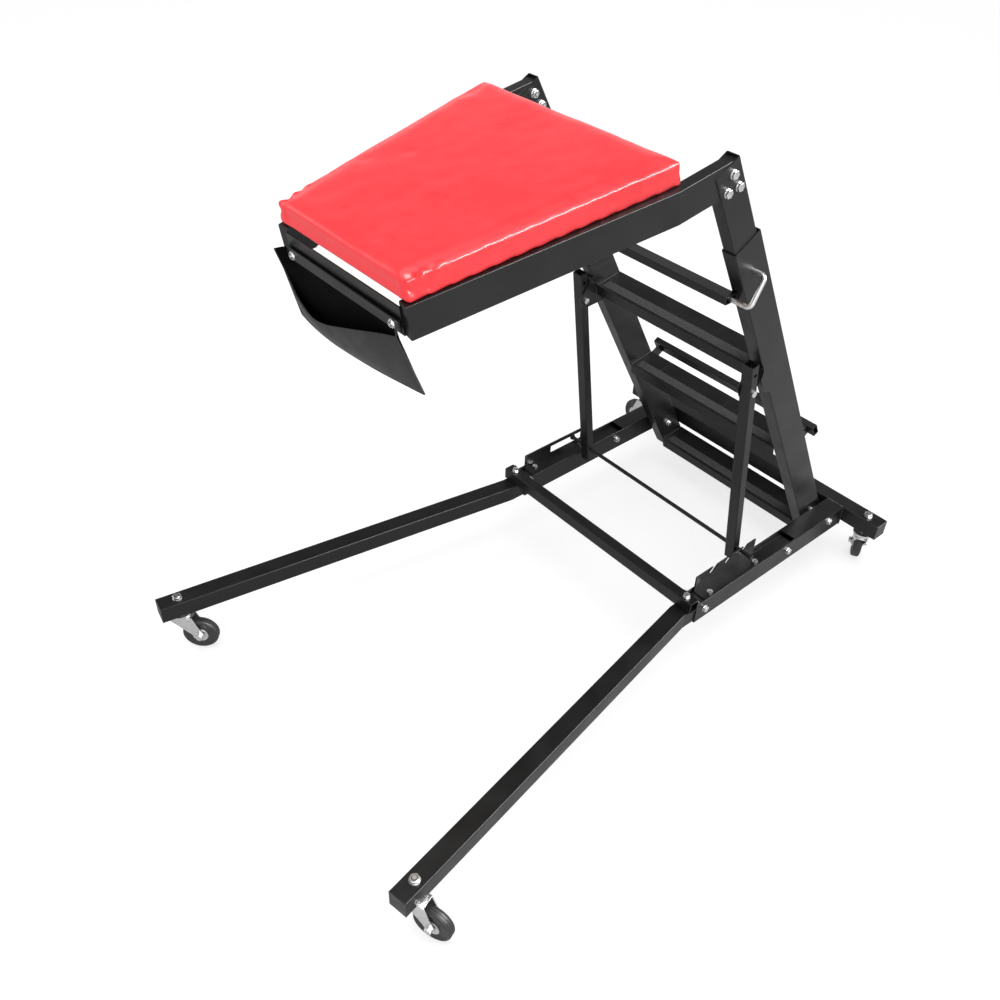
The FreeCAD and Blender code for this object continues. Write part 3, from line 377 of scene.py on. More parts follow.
FINISHES: dict[Slot, bpy.types.Material] = {slot: finish.make() for slot, finish in (
    (Slot.ENAMEL, Enamel()),
    (Slot.ZINC, Zinc()),
    (Slot.PLASTIC, Moulded("end_cap_finish", (0.022, 0.022, 0.023), (0.045, 0.045, 0.045))),
    (Slot.RUBBER, Moulded("wheel_finish", (0.026, 0.023, 0.025), (0.045, 0.041, 0.042))),
    (Slot.RED_VINYL, Vinyl("red_vinyl_finish", (0.92, 0.042, 0.052), (0.88, 0.032, 0.042),
                           roughness=0.32, crease=0.10, coat=0.12)),
    (Slot.BLACK_VINYL, Vinyl("black_vinyl_finish", (0.014, 0.014, 0.0145), (0.02, 0.02, 0.02),
                             roughness=0.5, crease=0.12)),
    (Slot.PLYWOOD, Plywood()),
    (Slot.GRIP, GripTape()),
    # The lining's finish is painted shade: near black with almost no reflection, standing in for
    # the shade inside the pouch.
    (Slot.LINING, Vinyl("pouch_lining_painted_shade", (0.0015, 0.0015, 0.0016), (0.002, 0.002, 0.002),
                        roughness=0.75, crease=0.1, coat=0.0, specular=0.04)),
)}


# Mesh helpers


def add(name: str, data: bpy.types.ID) -> bpy.types.Object:
    """Link data to the scene as an object.

    Args:
        name: The object's name.
        data: Its mesh, curve, lamp or camera.

    Returns:
        The object.
    """
    item = bpy.data.objects.new(name, data)
    bpy.context.scene.collection.objects.link(item)
    return item


def new_object(name: str, mesh: bpy.types.Mesh, slot: Slot) -> bpy.types.Object:
    """Link a mesh as an object with a slot's finish.

    Args:
        name: The object's name.
        mesh: Its mesh.
        slot: Its finish.

    Returns:
        The object.
    """
    item = add(name, mesh)
    mesh.materials.clear()
    mesh.materials.append(FINISHES[slot])
    return item


def settle(item: bpy.types.Object, body: str, slot: Slot, *nodes: str) -> bpy.types.Object:
    """Hang a finished piece on the body that it rides on, and hide the CAD nodes that it stands
    for.

    Args:
        item: The piece.
        body: The body that it rides on.
        slot: Not used.
        *nodes: The CAD nodes that it stands for.

    Returns:
        The piece.
    """
    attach(item, body)
    if nodes:
        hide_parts(*nodes)
    LOG.info("%s rides on %s, %d faces", item.name, body, len(item.data.polygons))
    return item


def shade(mesh: bpy.types.Mesh, angle: float = 35.0) -> None:
    """Smooth shading that breaks at edges sharper than an angle in degrees."""
    mesh.polygons.foreach_set("use_smooth", [True] * len(mesh.polygons))
    mesh.set_sharp_from_angle(angle=math.radians(angle))


def crisp(mesh: bpy.types.Mesh, broad: float) -> None:
    """Give a broad face's corners its own normal, and let narrow faces round the edges.

    Args:
        mesh: The mesh, already shaded.
        broad: Area from which a face is broad.
    """
    facing = [[] for _ in mesh.vertices]
    for face in mesh.polygons:
        if face.area > broad:
            for number in face.vertices:
                facing[number].append(face.normal.copy())
    normals = [corner.vector.copy() for corner in mesh.corner_normals]
    for face in mesh.polygons:
        for number in face.loop_indices:
            if face.area > broad:
                normals[number] = face.normal.copy()
                continue
            near = [normal for normal in facing[mesh.loops[number].vertex_index]
                    if normal.dot(face.normal) > 0.4]
            if near:
                normals[number] = sum(near, Vector()).normalized()
    mesh.normals_split_custom_set(normals)


def bake(item: bpy.types.Object) -> bpy.types.Object:
    """Turn an object's modifiers into its own plain mesh.

    Args:
        item: The object.

    Returns:
        The same object.
    """
    graph = bpy.context.evaluated_depsgraph_get()
    mesh = bpy.data.meshes.new_from_object(item.evaluated_get(graph))
    materials = list(item.data.materials)
    item.modifiers.clear()
    item.data = mesh
    mesh.materials.clear()
    for material in materials:
        mesh.materials.append(material)
    return item


def solid(name: str, shape: bmesh.types.BMesh, slot: Slot, angle: float = 35.0,
          place: Matrix | None = None) -> bpy.types.Object:
    """Turn a shape into a shaded object.

    Args:
        name: The object's name.
        shape: The shape, which is used up.
        slot: Its finish.
        angle: Above which an edge is drawn sharp, in degrees.
        place: Where it goes, if it isn't there yet.

    Returns:
        The object.
    """
    if place:
        shape.transform(place)
    mesh = bpy.data.meshes.new(name)
    shape.to_mesh(mesh)
    shape.free()
    shade(mesh, angle)
    return new_object(name, mesh, slot)


def merged(*nodes: str) -> bmesh.types.BMesh:
    """A welded copy of CAD nodes' meshes, its flat faces made whole.

    Args:
        *nodes: The nodes' names.

    Returns:
        The welded shape.
    """
    shape = bmesh.new()
    for node in nodes:
        shape.from_mesh(frame["nodes"][node].data)
    bmesh.ops.remove_doubles(shape, verts=shape.verts, dist=2 * WELD)
    bmesh.ops.dissolve_limit(shape, angle_limit=FLAT, verts=shape.verts, edges=shape.edges)
    return shape


def sharp_edges(shape: bmesh.types.BMesh) -> list[bmesh.types.BMEdge]:
    """The edges that are sharp enough to be eased."""
    return [edge for edge in shape.edges
            if edge.is_manifold and edge.calc_face_angle(0) > SHARP]


@dataclass
class Eased:
    """A CAD piece given the rounded corners of real tube and sheet.

    Attributes:
        corner: Radius of the long outer corners.
        edge: Width by which all other edges are broken.
        long_edge: Length from which an edge counts as long.
        broad: Area of a face from which a bend beside another such face stays crisp.
    """

    corner: float = 2.2 * MM
    edge: float = 0.4 * MM
    long_edge: float = 90 * MM
    broad: float = 8e-4

    def make(self, name: str, body: str, slot: Slot, *nodes: str) -> bpy.types.Object:
        """Build, shade and settle the piece.

        Args:
            name: The piece's name.
            body: The body that it rides on.
            slot: Its finish.
            *nodes: The CAD nodes that it is made from and stands for.

        Returns:
            The piece.
        """
        shape = merged(*nodes)
        long_ones = [edge for edge in sharp_edges(shape)
                     if edge.is_convex and edge.calc_length() > self.long_edge]
        if self.corner and long_ones:
            bmesh.ops.bevel(shape, geom=long_ones, offset=self.corner, segments=4, profile=0.5,
                            affect="EDGES", clamp_overlap=False)
        sharp = sharp_edges(shape)
        if self.edge and sharp:
            bmesh.ops.bevel(shape, geom=sharp, offset=self.edge, segments=2, profile=0.6,
                            affect="EDGES", clamp_overlap=True)
        item = solid(name, shape, slot)
        crisp(item.data, self.broad)
        return settle(item, body, slot, *nodes)


def dress(body: Body, slot: Slot, ending: str, nodes: Iterable[str], **sizes: float) -> None:
    """Ease every one of some nodes.

    Args:
        body: The body that they ride on.
        slot: Their finish.
        ending: What ends the pieces' names.
        nodes: The CAD nodes.
        **sizes: Sizes of the eased corners and edges.
    """
    for node in nodes:
        Eased(**sizes).make(f"{node}_{ending}", body, slot, node)


# Small forms repeated with Geometry Nodes


@dataclass(frozen=True)
class Spot:
    """Where one repeat of a small form stands, how it is turned and its size on each axis."""

    place: Vector
    turn: tuple[float, float, float]
    size: tuple[float, float, float]


class Form(Enum):
    """Small forms of unit size, as a node's type and its settings."""

    DISC = ("GeometryNodeMeshCylinder", {"Vertices": 36, "Radius": 0.5, "Depth": 1.0})
    BEAD = ("GeometryNodeMeshUVSphere", {"Segments": 12, "Rings": 8, "Radius": 0.5})


class Repeater:
    """A Geometry Nodes tree that puts one form on every point of a mesh."""

    def __init__(self, form: Form) -> None:
        """Build the tree, with the form's overall size and its finish as inputs.

        Args:
            form: What it repeats.
        """
        self.tree = bpy.data.node_groups.new("repeat_" + form.name.lower(), "GeometryNodeTree")
        face = self.tree.interface
        face.new_socket("Points", in_out="INPUT", socket_type="NodeSocketGeometry")
        self.growth = face.new_socket("Growth", in_out="INPUT", socket_type="NodeSocketFloat")
        self.finish = face.new_socket("Finish", in_out="INPUT", socket_type="NodeSocketMaterial")
        face.new_socket("Result", in_out="OUTPUT", socket_type="NodeSocketGeometry")
        nodes = self.tree.nodes
        start, end = nodes.new("NodeGroupInput"), nodes.new("NodeGroupOutput")
        kind, settings = form.value
        unit = nodes.new(kind)
        for name, number in settings.items():
            unit.inputs[name].default_value = number
        spread = nodes.new("GeometryNodeInstanceOnPoints")
        grow = nodes.new("ShaderNodeVectorMath")
        grow.operation = "SCALE"
        real = nodes.new("GeometryNodeRealizeInstances")
        paint = nodes.new("GeometryNodeSetMaterial")
        turn, size = self.attribute("turn"), self.attribute("size")
        for source, target in (
                (start.outputs["Points"], spread.inputs["Points"]),
                (unit.outputs["Mesh"], spread.inputs["Instance"]),
                (turn, spread.inputs["Rotation"]),
                (size, grow.inputs[0]),
                (start.outputs["Growth"], grow.inputs["Scale"]),
                (grow.outputs["Vector"], spread.inputs["Scale"]),
                (spread.outputs["Instances"], real.inputs["Geometry"]),
                (real.outputs["Geometry"], paint.inputs["Geometry"]),
                (start.outputs["Finish"], paint.inputs["Material"]),
                (paint.outputs["Geometry"], end.inputs["Result"])):
            self.tree.links.new(source, target)

    def attribute(self, name: str) -> bpy.types.NodeSocket:
        """Add a reader of a vector stored on each point.

        Args:
            name: What the vector is stored as.

        Returns:
            The reader's socket.
        """
        reader = self.tree.nodes.new("GeometryNodeInputNamedAttribute")
        reader.data_type = "FLOAT_VECTOR"
        reader.inputs["Name"].default_value = name
        return reader.outputs["Attribute"]

    def set_out(self, name: str, body: str, slot: Slot, spots: list[Spot],
                growth: float = 1.0) -> bpy.types.Object:
        """Repeat the form at every spot, as one plain mesh.

        Args:
            name: The piece's name.
            body: The body that it rides on.
            slot: Its finish.
            spots: Where the repeats stand.
            growth: What every size is multiplied by.

        Returns:
            The piece.
        """
        mesh = bpy.data.meshes.new(name)
        mesh.from_pydata([spot.place for spot in spots], [], [])
        for key in ("turn", "size"):
            layer = mesh.attributes.new(key, "FLOAT_VECTOR", "POINT")
            for entry, spot in zip(layer.data, spots):
                entry.vector = getattr(spot, key)
        item = new_object(name, mesh, slot)
        modifier = item.modifiers.new("repeat", "NODES")
        modifier.node_group = self.tree
        modifier[self.growth.identifier] = growth
        modifier[self.finish.identifier] = FINISHES[slot]
        bake(item)
        shade(item.data, 40)
        return settle(item, body, slot)


REPEATERS = {form: Repeater(form) for form in Form}


def turned(matrix: Matrix, axis: str) -> tuple[float, float, float]:
    """The turn that lays a form's own Z along an axis of a frame.

    Args:
        matrix: The frame.
        axis: Its axis, as x, y or z.

    Returns:
        The turn, as Euler angles.
    """
    lay = {"x": Matrix.Rotation(math.pi / 2, 3, "Y"), "y": Matrix.Rotation(math.pi / 2, 3, "X"),
           "z": Matrix.Identity(3)}[axis]
    return tuple((matrix.to_3x3() @ lay).to_euler())


@dataclass(frozen=True)
class BoltRow:
    """Both ends of a bolt and of its mirror image: washers, and what shows in the nut's end.

    All its sizes are in millimetres.

    Attributes:
        place: Where the bolt's axis passes, with a zero on the axis along which it lies.
        axis: That axis.
        head: Under the head, along the axis.
        nut: Under the nut, along the axis.
        nut_height: How far the nut stands out.
        width: The thread's.
    """

    place: tuple[float, float, float]
    axis: str
    head: float
    nut: float
    nut_height: float = 6.5
    width: float = 8.0

    def discs(self, inserts: bool) -> list[tuple[float, float, float]]:
        """List the bolt's discs.

        Args:
            inserts: Whether to give the nut's nylon insert instead of what is zinc.

        Returns:
            Where along the bolt each disc lies, its width and its height.
        """
        way = 1 if self.head > self.nut else -1
        end, wide = self.nut - way * self.nut_height, self.width
        if inserts:
            return [(end - way * 1.6, 1.08 * wide, 0.5)]
        return [(self.head + way * 0.7, 2.0 * wide, 1.4), (self.nut - way * 0.7, 2.0 * wide, 1.4),
                (end - way * 0.7, 1.36 * wide, 1.6), (end - way * 1.4, 0.8 * wide, 1.7)]

    def spots(self, frame_of: Matrix, inserts: bool = False) -> list[Spot]:
        """The discs for both sides of the object.

        Args:
            frame_of: The frame in which the bolt is given.
            inserts: As for discs.

        Returns:
            A spot for each disc.
        """
        found = []
        for side in (1, -1):
            for run, width, height in self.discs(inserts):
                place = Vector(self.place)
                place["xyz".index(self.axis)] = run
                place.x *= side
                found.append(Spot(frame_of @ (place * MM), turned(frame_of, self.axis),
                                  (width * MM, width * MM, height * MM)))
        return found


def set_bolts(name: str, body: str, frame_of: Matrix, rows: Iterable[BoltRow]) -> None:
    """Add the washers, collars and inserts of a body's bolts.

    Args:
        name: What starts the pieces' names.
        body: The body that they ride on.
        frame_of: The frame in which the bolts are given.
        rows: The bolts.
    """
    for word, slot in (("washers", Slot.ZINC), ("inserts", Slot.PLASTIC)):
        spots = [spot for row in rows for spot in row.spots(frame_of, slot is Slot.PLASTIC)]
        REPEATERS[Form.DISC].set_out(f"{name}_{word}", body, slot, spots)


def bead_run(frame_of: Matrix, start: tuple, end: tuple, width: float = 3.4 * MM) -> list[Spot]:
    """Weld beads along a line and along its mirror image.

    Args:
        frame_of: The frame in which the line is given.
        start: One end of the line.
        end: Its other end.
        width: The beads' width.

    Returns:
        A spot for each bead.
    """
    first, last = Vector(start), Vector(end)
    count = max(2, round((last - first).length / (0.62 * width)))
    found = []
    for side in (1, -1):
        for number in range(count):
            place = first.lerp(last, number / (count - 1))
            size = width * (1 + 0.18 * noise.noise(place * 400))
            place.x *= side
            found.append(Spot(frame_of @ place, (0.0, 0.0, 0.0), (size, size, size)))
    return found


# Places on the object


def joint(name: str) -> dict:
    """The frame's joint of that name."""
    return next(j for j in frame["joints"] if j["name"] == name)


@dataclass(frozen=True)
class Places:
    """Local frames of the leaning ladder and of the sloping arms, worked out from the joints."""

    head_rise: float = 1066.0 * MM
    arm_slope: float = math.radians(9.5)
    arm_reach: float = 557.0 * MM
    arm_half_height: float = 27.5 * MM
    upright_half_depth: float = 32.5 * MM
    upright_inside: float = 209.4 * MM

    @property
    def lean(self) -> float:
        """The ladder's lean, from the direction in which the mast slides."""
        axis = joint("mast_slide")["axis"]
        return math.atan2(-axis[1], axis[2])

    @property
    def ladder(self) -> Matrix:
        """From the ladder's own frame, about its pivot, to the object's."""
        pivot = Vector(joint("ladder_tilt")["pos_m"])
        return Matrix.Translation(pivot) @ Matrix.Rotation(self.lean, 4, "X")

    @property
    def arm(self) -> Matrix:
        """From the arms' own frame, about the mast's head, to the object's."""
        head = self.ladder @ Vector((0, 0, self.head_rise))
        return Matrix.Translation(head) @ Matrix.Rotation(self.arm_slope, 4, "X")


PLACES = Places()


def tube_along(name: str, path: list[Vector], radius: float, slot: Slot,
               sides: int = 20) -> bpy.types.Object:
    """A round bar along a path, its ends closed.

    Args:
        name: The piece's name.
        path: Places along its middle.
        radius: Its radius.
        slot: Its finish.
        sides: Faces round it.

    Returns:
        The new object.
    """
    curve = bpy.data.curves.new(name + "_path", "CURVE")
    curve.dimensions = "3D"
    curve.bevel_depth = radius
    curve.bevel_resolution = max(0, sides // 4 - 1)
    curve.use_fill_caps = True
    spline = curve.splines.new("POLY")
    spline.points.add(len(path) - 1)
    for point, place in zip(spline.points, path):
        point.co = (*place, 1.0)
    holder = add(name + "_curve", curve)
    graph = bpy.context.evaluated_depsgraph_get()
    mesh = bpy.data.meshes.new_from_object(holder.evaluated_get(graph))
    bpy.data.objects.remove(holder)
    bpy.data.curves.remove(curve)
    shape = bmesh.new()
    shape.from_mesh(mesh)
    bmesh.ops.remove_doubles(shape, verts=shape.verts, dist=WELD)
    bmesh.ops.recalc_face_normals(shape, faces=shape.faces)
    return solid(name, shape, slot, 50)


def bent(corners: list[Vector], radius: float, steps: int = 8) -> list[Vector]:
    """A path with each inner corner rounded to a radius.

    Args:
        corners: The path's ends and corners.
        radius: The radius of each bend.
        steps: Places along a bend.

    Returns:
        Places along the path.
    """
    path = [corners[0]]
    for before, corner, after in zip(corners, corners[1:], corners[2:]):
        towards, away = (before - corner).normalized(), (after - corner).normalized()
        half = towards.angle(away) / 2
        centre = corner + (towards + away).normalized() * radius / math.sin(half)
        start = corner + towards * radius / math.tan(half) - centre
        end = corner + away * radius / math.tan(half) - centre
        out = start.length
        path += [centre + start.slerp(end, step / steps).normalized() * out
                 for step in range(steps + 1)]
    return path + [corners[-1]]


def lathe(profile: list[tuple[float, float]], steps: int = 64) -> bmesh.types.BMesh:
    """Turn a profile of (along, out) places about the X axis.

    Args:
        profile: Places from one end of the axis to the other.
        steps: Faces round the axis.

    Returns:
        The turned shape, welded.
    """
    shape = bmesh.new()
    rings = []
    for step in range(steps):
        turn = 2 * math.pi * step / steps
        rings.append([shape.verts.new((x, r * math.cos(turn), r * math.sin(turn)))
                      for x, r in profile])
    for step, ring in enumerate(rings):
        after = rings[(step + 1) % steps]
        for a, b in zip(range(len(profile)), range(1, len(profile))):
            shape.faces.new((ring[a], ring[b], after[b], after[a]))
    bmesh.ops.remove_doubles(shape, verts=shape.verts, dist=WELD / 2)
    bmesh.ops.recalc_face_normals(shape, faces=shape.faces)
    return shape


# Sub-assemblies

SHEET_CORNER = 0.8 * MM


@dataclass
class Chassis:
    """Crossbar, rails, legs, tie bar, racks and their fasteners."""

    tubes: tuple[str, ...] = ("rear_crossbar", "right_leg", "left_leg", "tie_bar")
    rails: tuple[str, ...] = ("right_rail", "left_rail")
    sheets: tuple[str, ...] = ("right_rack", "left_rack")
    fasteners: tuple[str, ...] = ("tie_bar_bolts", "leg_bolts", "leg_stay_bolts",
                                  "ladder_pivots", "rack_screws", "caster_stems")
    caps: tuple[str, ...] = ("crossbar_caps", "leg_caps")
    bolts: tuple[BoltRow, ...] = (
        BoltRow((0, -91.2, 5.0), "x", 291.0, 209.2), BoltRow((0, -243.0, 0), "x", 291.0, 247.0),
        BoltRow((0, -540.0, 15.2), "x", 301.0, 247.0),
        BoltRow((269.0, -565.0, 0), "z", 39.0, -27.0))
    stems: tuple[tuple[str, float], ...] = (("front_right", 11.0), ("rear_right", 19.0))
    stem_length: float = 45.0
    stem_width: float = 10.0
    weld_face: float = -38.4 * MM
    weld_sides: tuple[float, float] = (247 * MM, 291 * MM)
    weld_heights: tuple[float, float] = (-30 * MM, 19 * MM)

    def build(self) -> None:
        """Dress every fixed piece of the base."""
        dress(Body.BASE, Slot.ENAMEL, "shell", self.tubes)
        dress(Body.BASE, Slot.ENAMEL, "shell", self.rails, corner=1.0 * MM)
        dress(Body.BASE, Slot.ENAMEL, "plate", self.sheets, corner=SHEET_CORNER)
        dress(Body.BASE, Slot.ZINC, "set", self.fasteners, corner=0.0)
        dress(Body.BASE, Slot.PLASTIC, "set", self.caps, corner=0.0, edge=1.2 * MM)
        own = Matrix.Identity(4)
        bolts = list(self.bolts)
        for name, top in self.stems:
            x, y, _ = joint(name + "_swivel_turn")["pos_m"]
            bolts.append(BoltRow((x / MM, y / MM, 0), "z", top - self.stem_length, top,
                                 width=self.stem_width))
        set_bolts("frame", Body.BASE, own, bolts)
        y, (inner, outer), (low, high) = self.weld_face, self.weld_sides, self.weld_heights
        lines = (((inner, y, low), (inner, y, high)), ((outer, y, low), (outer, y, high)),
                 ((inner, y, high), (outer, y, high)))
        REPEATERS[Form.BEAD].set_out("frame_welds", Body.BASE, Slot.ENAMEL,
                                     [spot for line in lines for spot in bead_run(own, *line)])


@dataclass
class Ladder:
    """Uprights, rungs, grip strips, top bar, rear bar and the struts' brackets."""

    tubes: tuple[str, ...] = ("right_upright", "left_upright", "top_bar", "rear_bar")
    sheets: tuple[str, ...] = ("lower_rung", "middle_rung", "upper_rung", "top_bar_brackets",
                               "rear_bar_brackets", "strut_brackets")
    treads: tuple[float, ...] = (-50.0 * MM, 287.0 * MM, 578.0 * MM)
    tread_tilt: float = math.radians(20.0)

    def build(self) -> None:
        """Dress the ladder."""
        dress(Body.LADDER, Slot.ENAMEL, "shell", self.tubes)
        dress(Body.LADDER, Slot.ENAMEL, "plate", self.sheets, corner=SHEET_CORNER)
        grips = Eased(corner=0.0, edge=0.2 * MM)
        grips.make("grip_strip_set", Body.LADDER, Slot.GRIP, "grip_strips")
        beads = []
        x, half = PLACES.upright_inside - 0.4 * MM, PLACES.upright_half_depth - 2 * MM
        for rise in self.treads:
            tread = (PLACES.ladder @ Matrix.Translation((0, 0, rise))
                     @ Matrix.Rotation(-self.tread_tilt, 4, "X"))
            beads += bead_run(tread, (x, -half, 0.0), (x, half, 0.0), 3.0 * MM)
        REPEATERS[Form.BEAD].set_out("tread_welds", Body.LADDER, Slot.ENAMEL, beads)


@dataclass
class Props:
    """The two struts, their rod and their pins."""

    def build(self) -> None:
        """Dress the props."""
        dress(Body.PROPS, Slot.ENAMEL, "shell", ("right_strut", "left_strut"))
        Eased(corner=0.0, edge=0.6 * MM).make("strut_rod_bar", Body.PROPS, Slot.ENAMEL, "strut_rod")
        Eased(corner=0.0).make("strut_pin_set", Body.PROPS, Slot.ZINC, "strut_pins")


@dataclass
class Mast:
    """Inner tubes, arms, front plate and their fasteners."""

    tubes: tuple[str, ...] = ("right_inner_tube", "left_inner_tube")
    arms: tuple[str, ...] = ("right_arm", "left_arm")
    sheets: tuple[str, ...] = ("front_plate", "pouch_strip")
    overlap: float = 1.025
    fasteners: tuple[str, ...] = ("head_bolts", "pouch_bolts", "pad_screws")
    head_bolts: tuple[tuple[float, float], ...] = ((3.9, 1072.05), (8.45, 1042.9), (-16.25, 1051.7))
    pouch_bolt: BoltRow = BoltRow((126.4, 0, -10.0), "y", -554.0, -562.5, 3.0, 7.0)

    def build(self) -> None:
        """Dress the mast."""
        dress(Body.MAST, Slot.ENAMEL, "shell", self.tubes, corner=2.0 * MM)
        dress(Body.MAST, Slot.ENAMEL, "shell", self.arms, corner=1.4 * MM)
        for node in self.sheets:
            sheet = Eased(SHEET_CORNER).make(f"{node}_plate", Body.MAST, Slot.ENAMEL, node)
            sheet.data.transform(Matrix.Diagonal((self.overlap, 1.0, 1.0, 1.0)))
        dress(Body.MAST, Slot.ZINC, "set", self.fasteners, corner=0.0)
        Eased(corner=1.0 * MM).make("pad_board_sheet", Body.MAST, Slot.PLYWOOD, "pad_board")
        rows = [BoltRow((0, depth, rise), "x", 237.1, 211.7) for depth, rise in self.head_bolts]
        set_bolts("head", Body.MAST, PLACES.ladder, rows)
        set_bolts("pouch", Body.MAST, PLACES.arm, [self.pouch_bolt])


@dataclass
class LockPins:
    """The two U-shaped pins that lock the mast."""

    radius: float = 4.5 * MM
    bend: float = 9.0 * MM
    long_end: float = 200.4 * MM
    short_end: float = 208.5 * MM
    grip: float = 262.4 * MM
    rise: float = 855.0 * MM
    tip: tuple[float, float] = (-48.8 * MM, 823.8 * MM)

    def build(self) -> None:
        """Bend both pins."""
        for side, body in ((1, Body.RIGHT_PIN), (-1, Body.LEFT_PIN)):
            corners = [(self.long_end, 0.0, self.rise), (self.grip, 0.0, self.rise),
                       (self.grip, *self.tip), (self.short_end, *self.tip)]
            places = [PLACES.ladder @ Vector((side * x, y, z)) for x, y, z in corners]
            pin = tube_along(f"{body.value}_bar", bent(places, self.bend), self.radius, Slot.ZINC)
            settle(pin, body, Slot.ZINC, body.value.replace("_", "_lock_"))


FOLD_REACH = 3
FOLD_SINK = 9 * MM
MIRRORED_DEPTH = 0.8


@dataclass(frozen=True)
class Fold:
    """A groove along a line of the pad, or a ridge if its depth is negative, in millimetres."""

    start: tuple[float, float, float]
    end: tuple[float, float, float]
    depth: float
    width: float

    def press(self, place: Vector, normal: Vector) -> float:
        """How deep the fold is at a place of the surface, in metres.

        Args:
            place: The place.
            normal: The surface's normal there.

        Returns:
            The depth, which is below 0 where the fold rises.
        """
        first, last = Vector(self.start) * MM, Vector(self.end) * MM
        line = last - first
        share = 0.0
        if line.length_squared:
            share = max(0.0, min(1.0, (place - first).dot(line) / line.length_squared))
        gap = place - first - line * share
        sunk = gap.dot(normal)
        away = (gap - normal * sunk).length / (self.width * MM)
        if away > FOLD_REACH or abs(sunk) > FOLD_SINK:
            return 0.0
        return self.depth * MM * math.exp(-away * away)

    def mirrored(self) -> "Fold":
        """The same fold on the other side of the middle."""
        (a, b, c), (d, e, f) = self.start, self.end
        return Fold((-a, b, c), (-d, e, f), self.depth * MIRRORED_DEPTH, self.width)


CORNER_FOLDS = (
    Fold((149, -551, 69), (152, -543, 45), 3.8, 2.4),
    Fold((151, -541, 68), (153, -534, 66), 7.5, 6.5),
    Fold((155, -528, 66), (152, -540, 40), 2.4, 3.0),
    Fold((157, -516, 68), (154, -530, 40), -2.6, 3.0),
    Fold((159, -503, 68), (156, -517, 38), 2.4, 3.0),
    Fold((162, -490, 68), (158, -508, 42), -1.6, 4.0),
    Fold((146, -553, 68), (140, -554, 30), -1.0, 4.0),
)
REAR_FOLDS = (
    Fold((223, -95, 69), (222, -98, 28), 2.4, 2.2),
    Fold((222, -106, 67), (221, -103, 36), 1.3, 3.0),
    Fold((214, -94, 67), (217, -94, 36), 1.3, 3.0),
)
TOP_FOLDS = (
    Fold((-158, -552, 66), (-157, -548, 46), -4.0, 14.0),
    Fold((-153, -395, 68), (-150, -392, 68), 1.6, 14.0),
    Fold((-114, -336, 68), (-111, -334, 68), 1.4, 12.0),
    Fold((60, -520, 69), (138, -546, 69), -0.8, 7.0),
    Fold((-120, -548, 66), (40, -552, 64), -0.7, 8.0),
)
FOLDS = (*CORNER_FOLDS, *(fold.mirrored() for fold in CORNER_FOLDS), *REAR_FOLDS,
         *(fold.mirrored() for fold in REAR_FOLDS), *TOP_FOLDS)


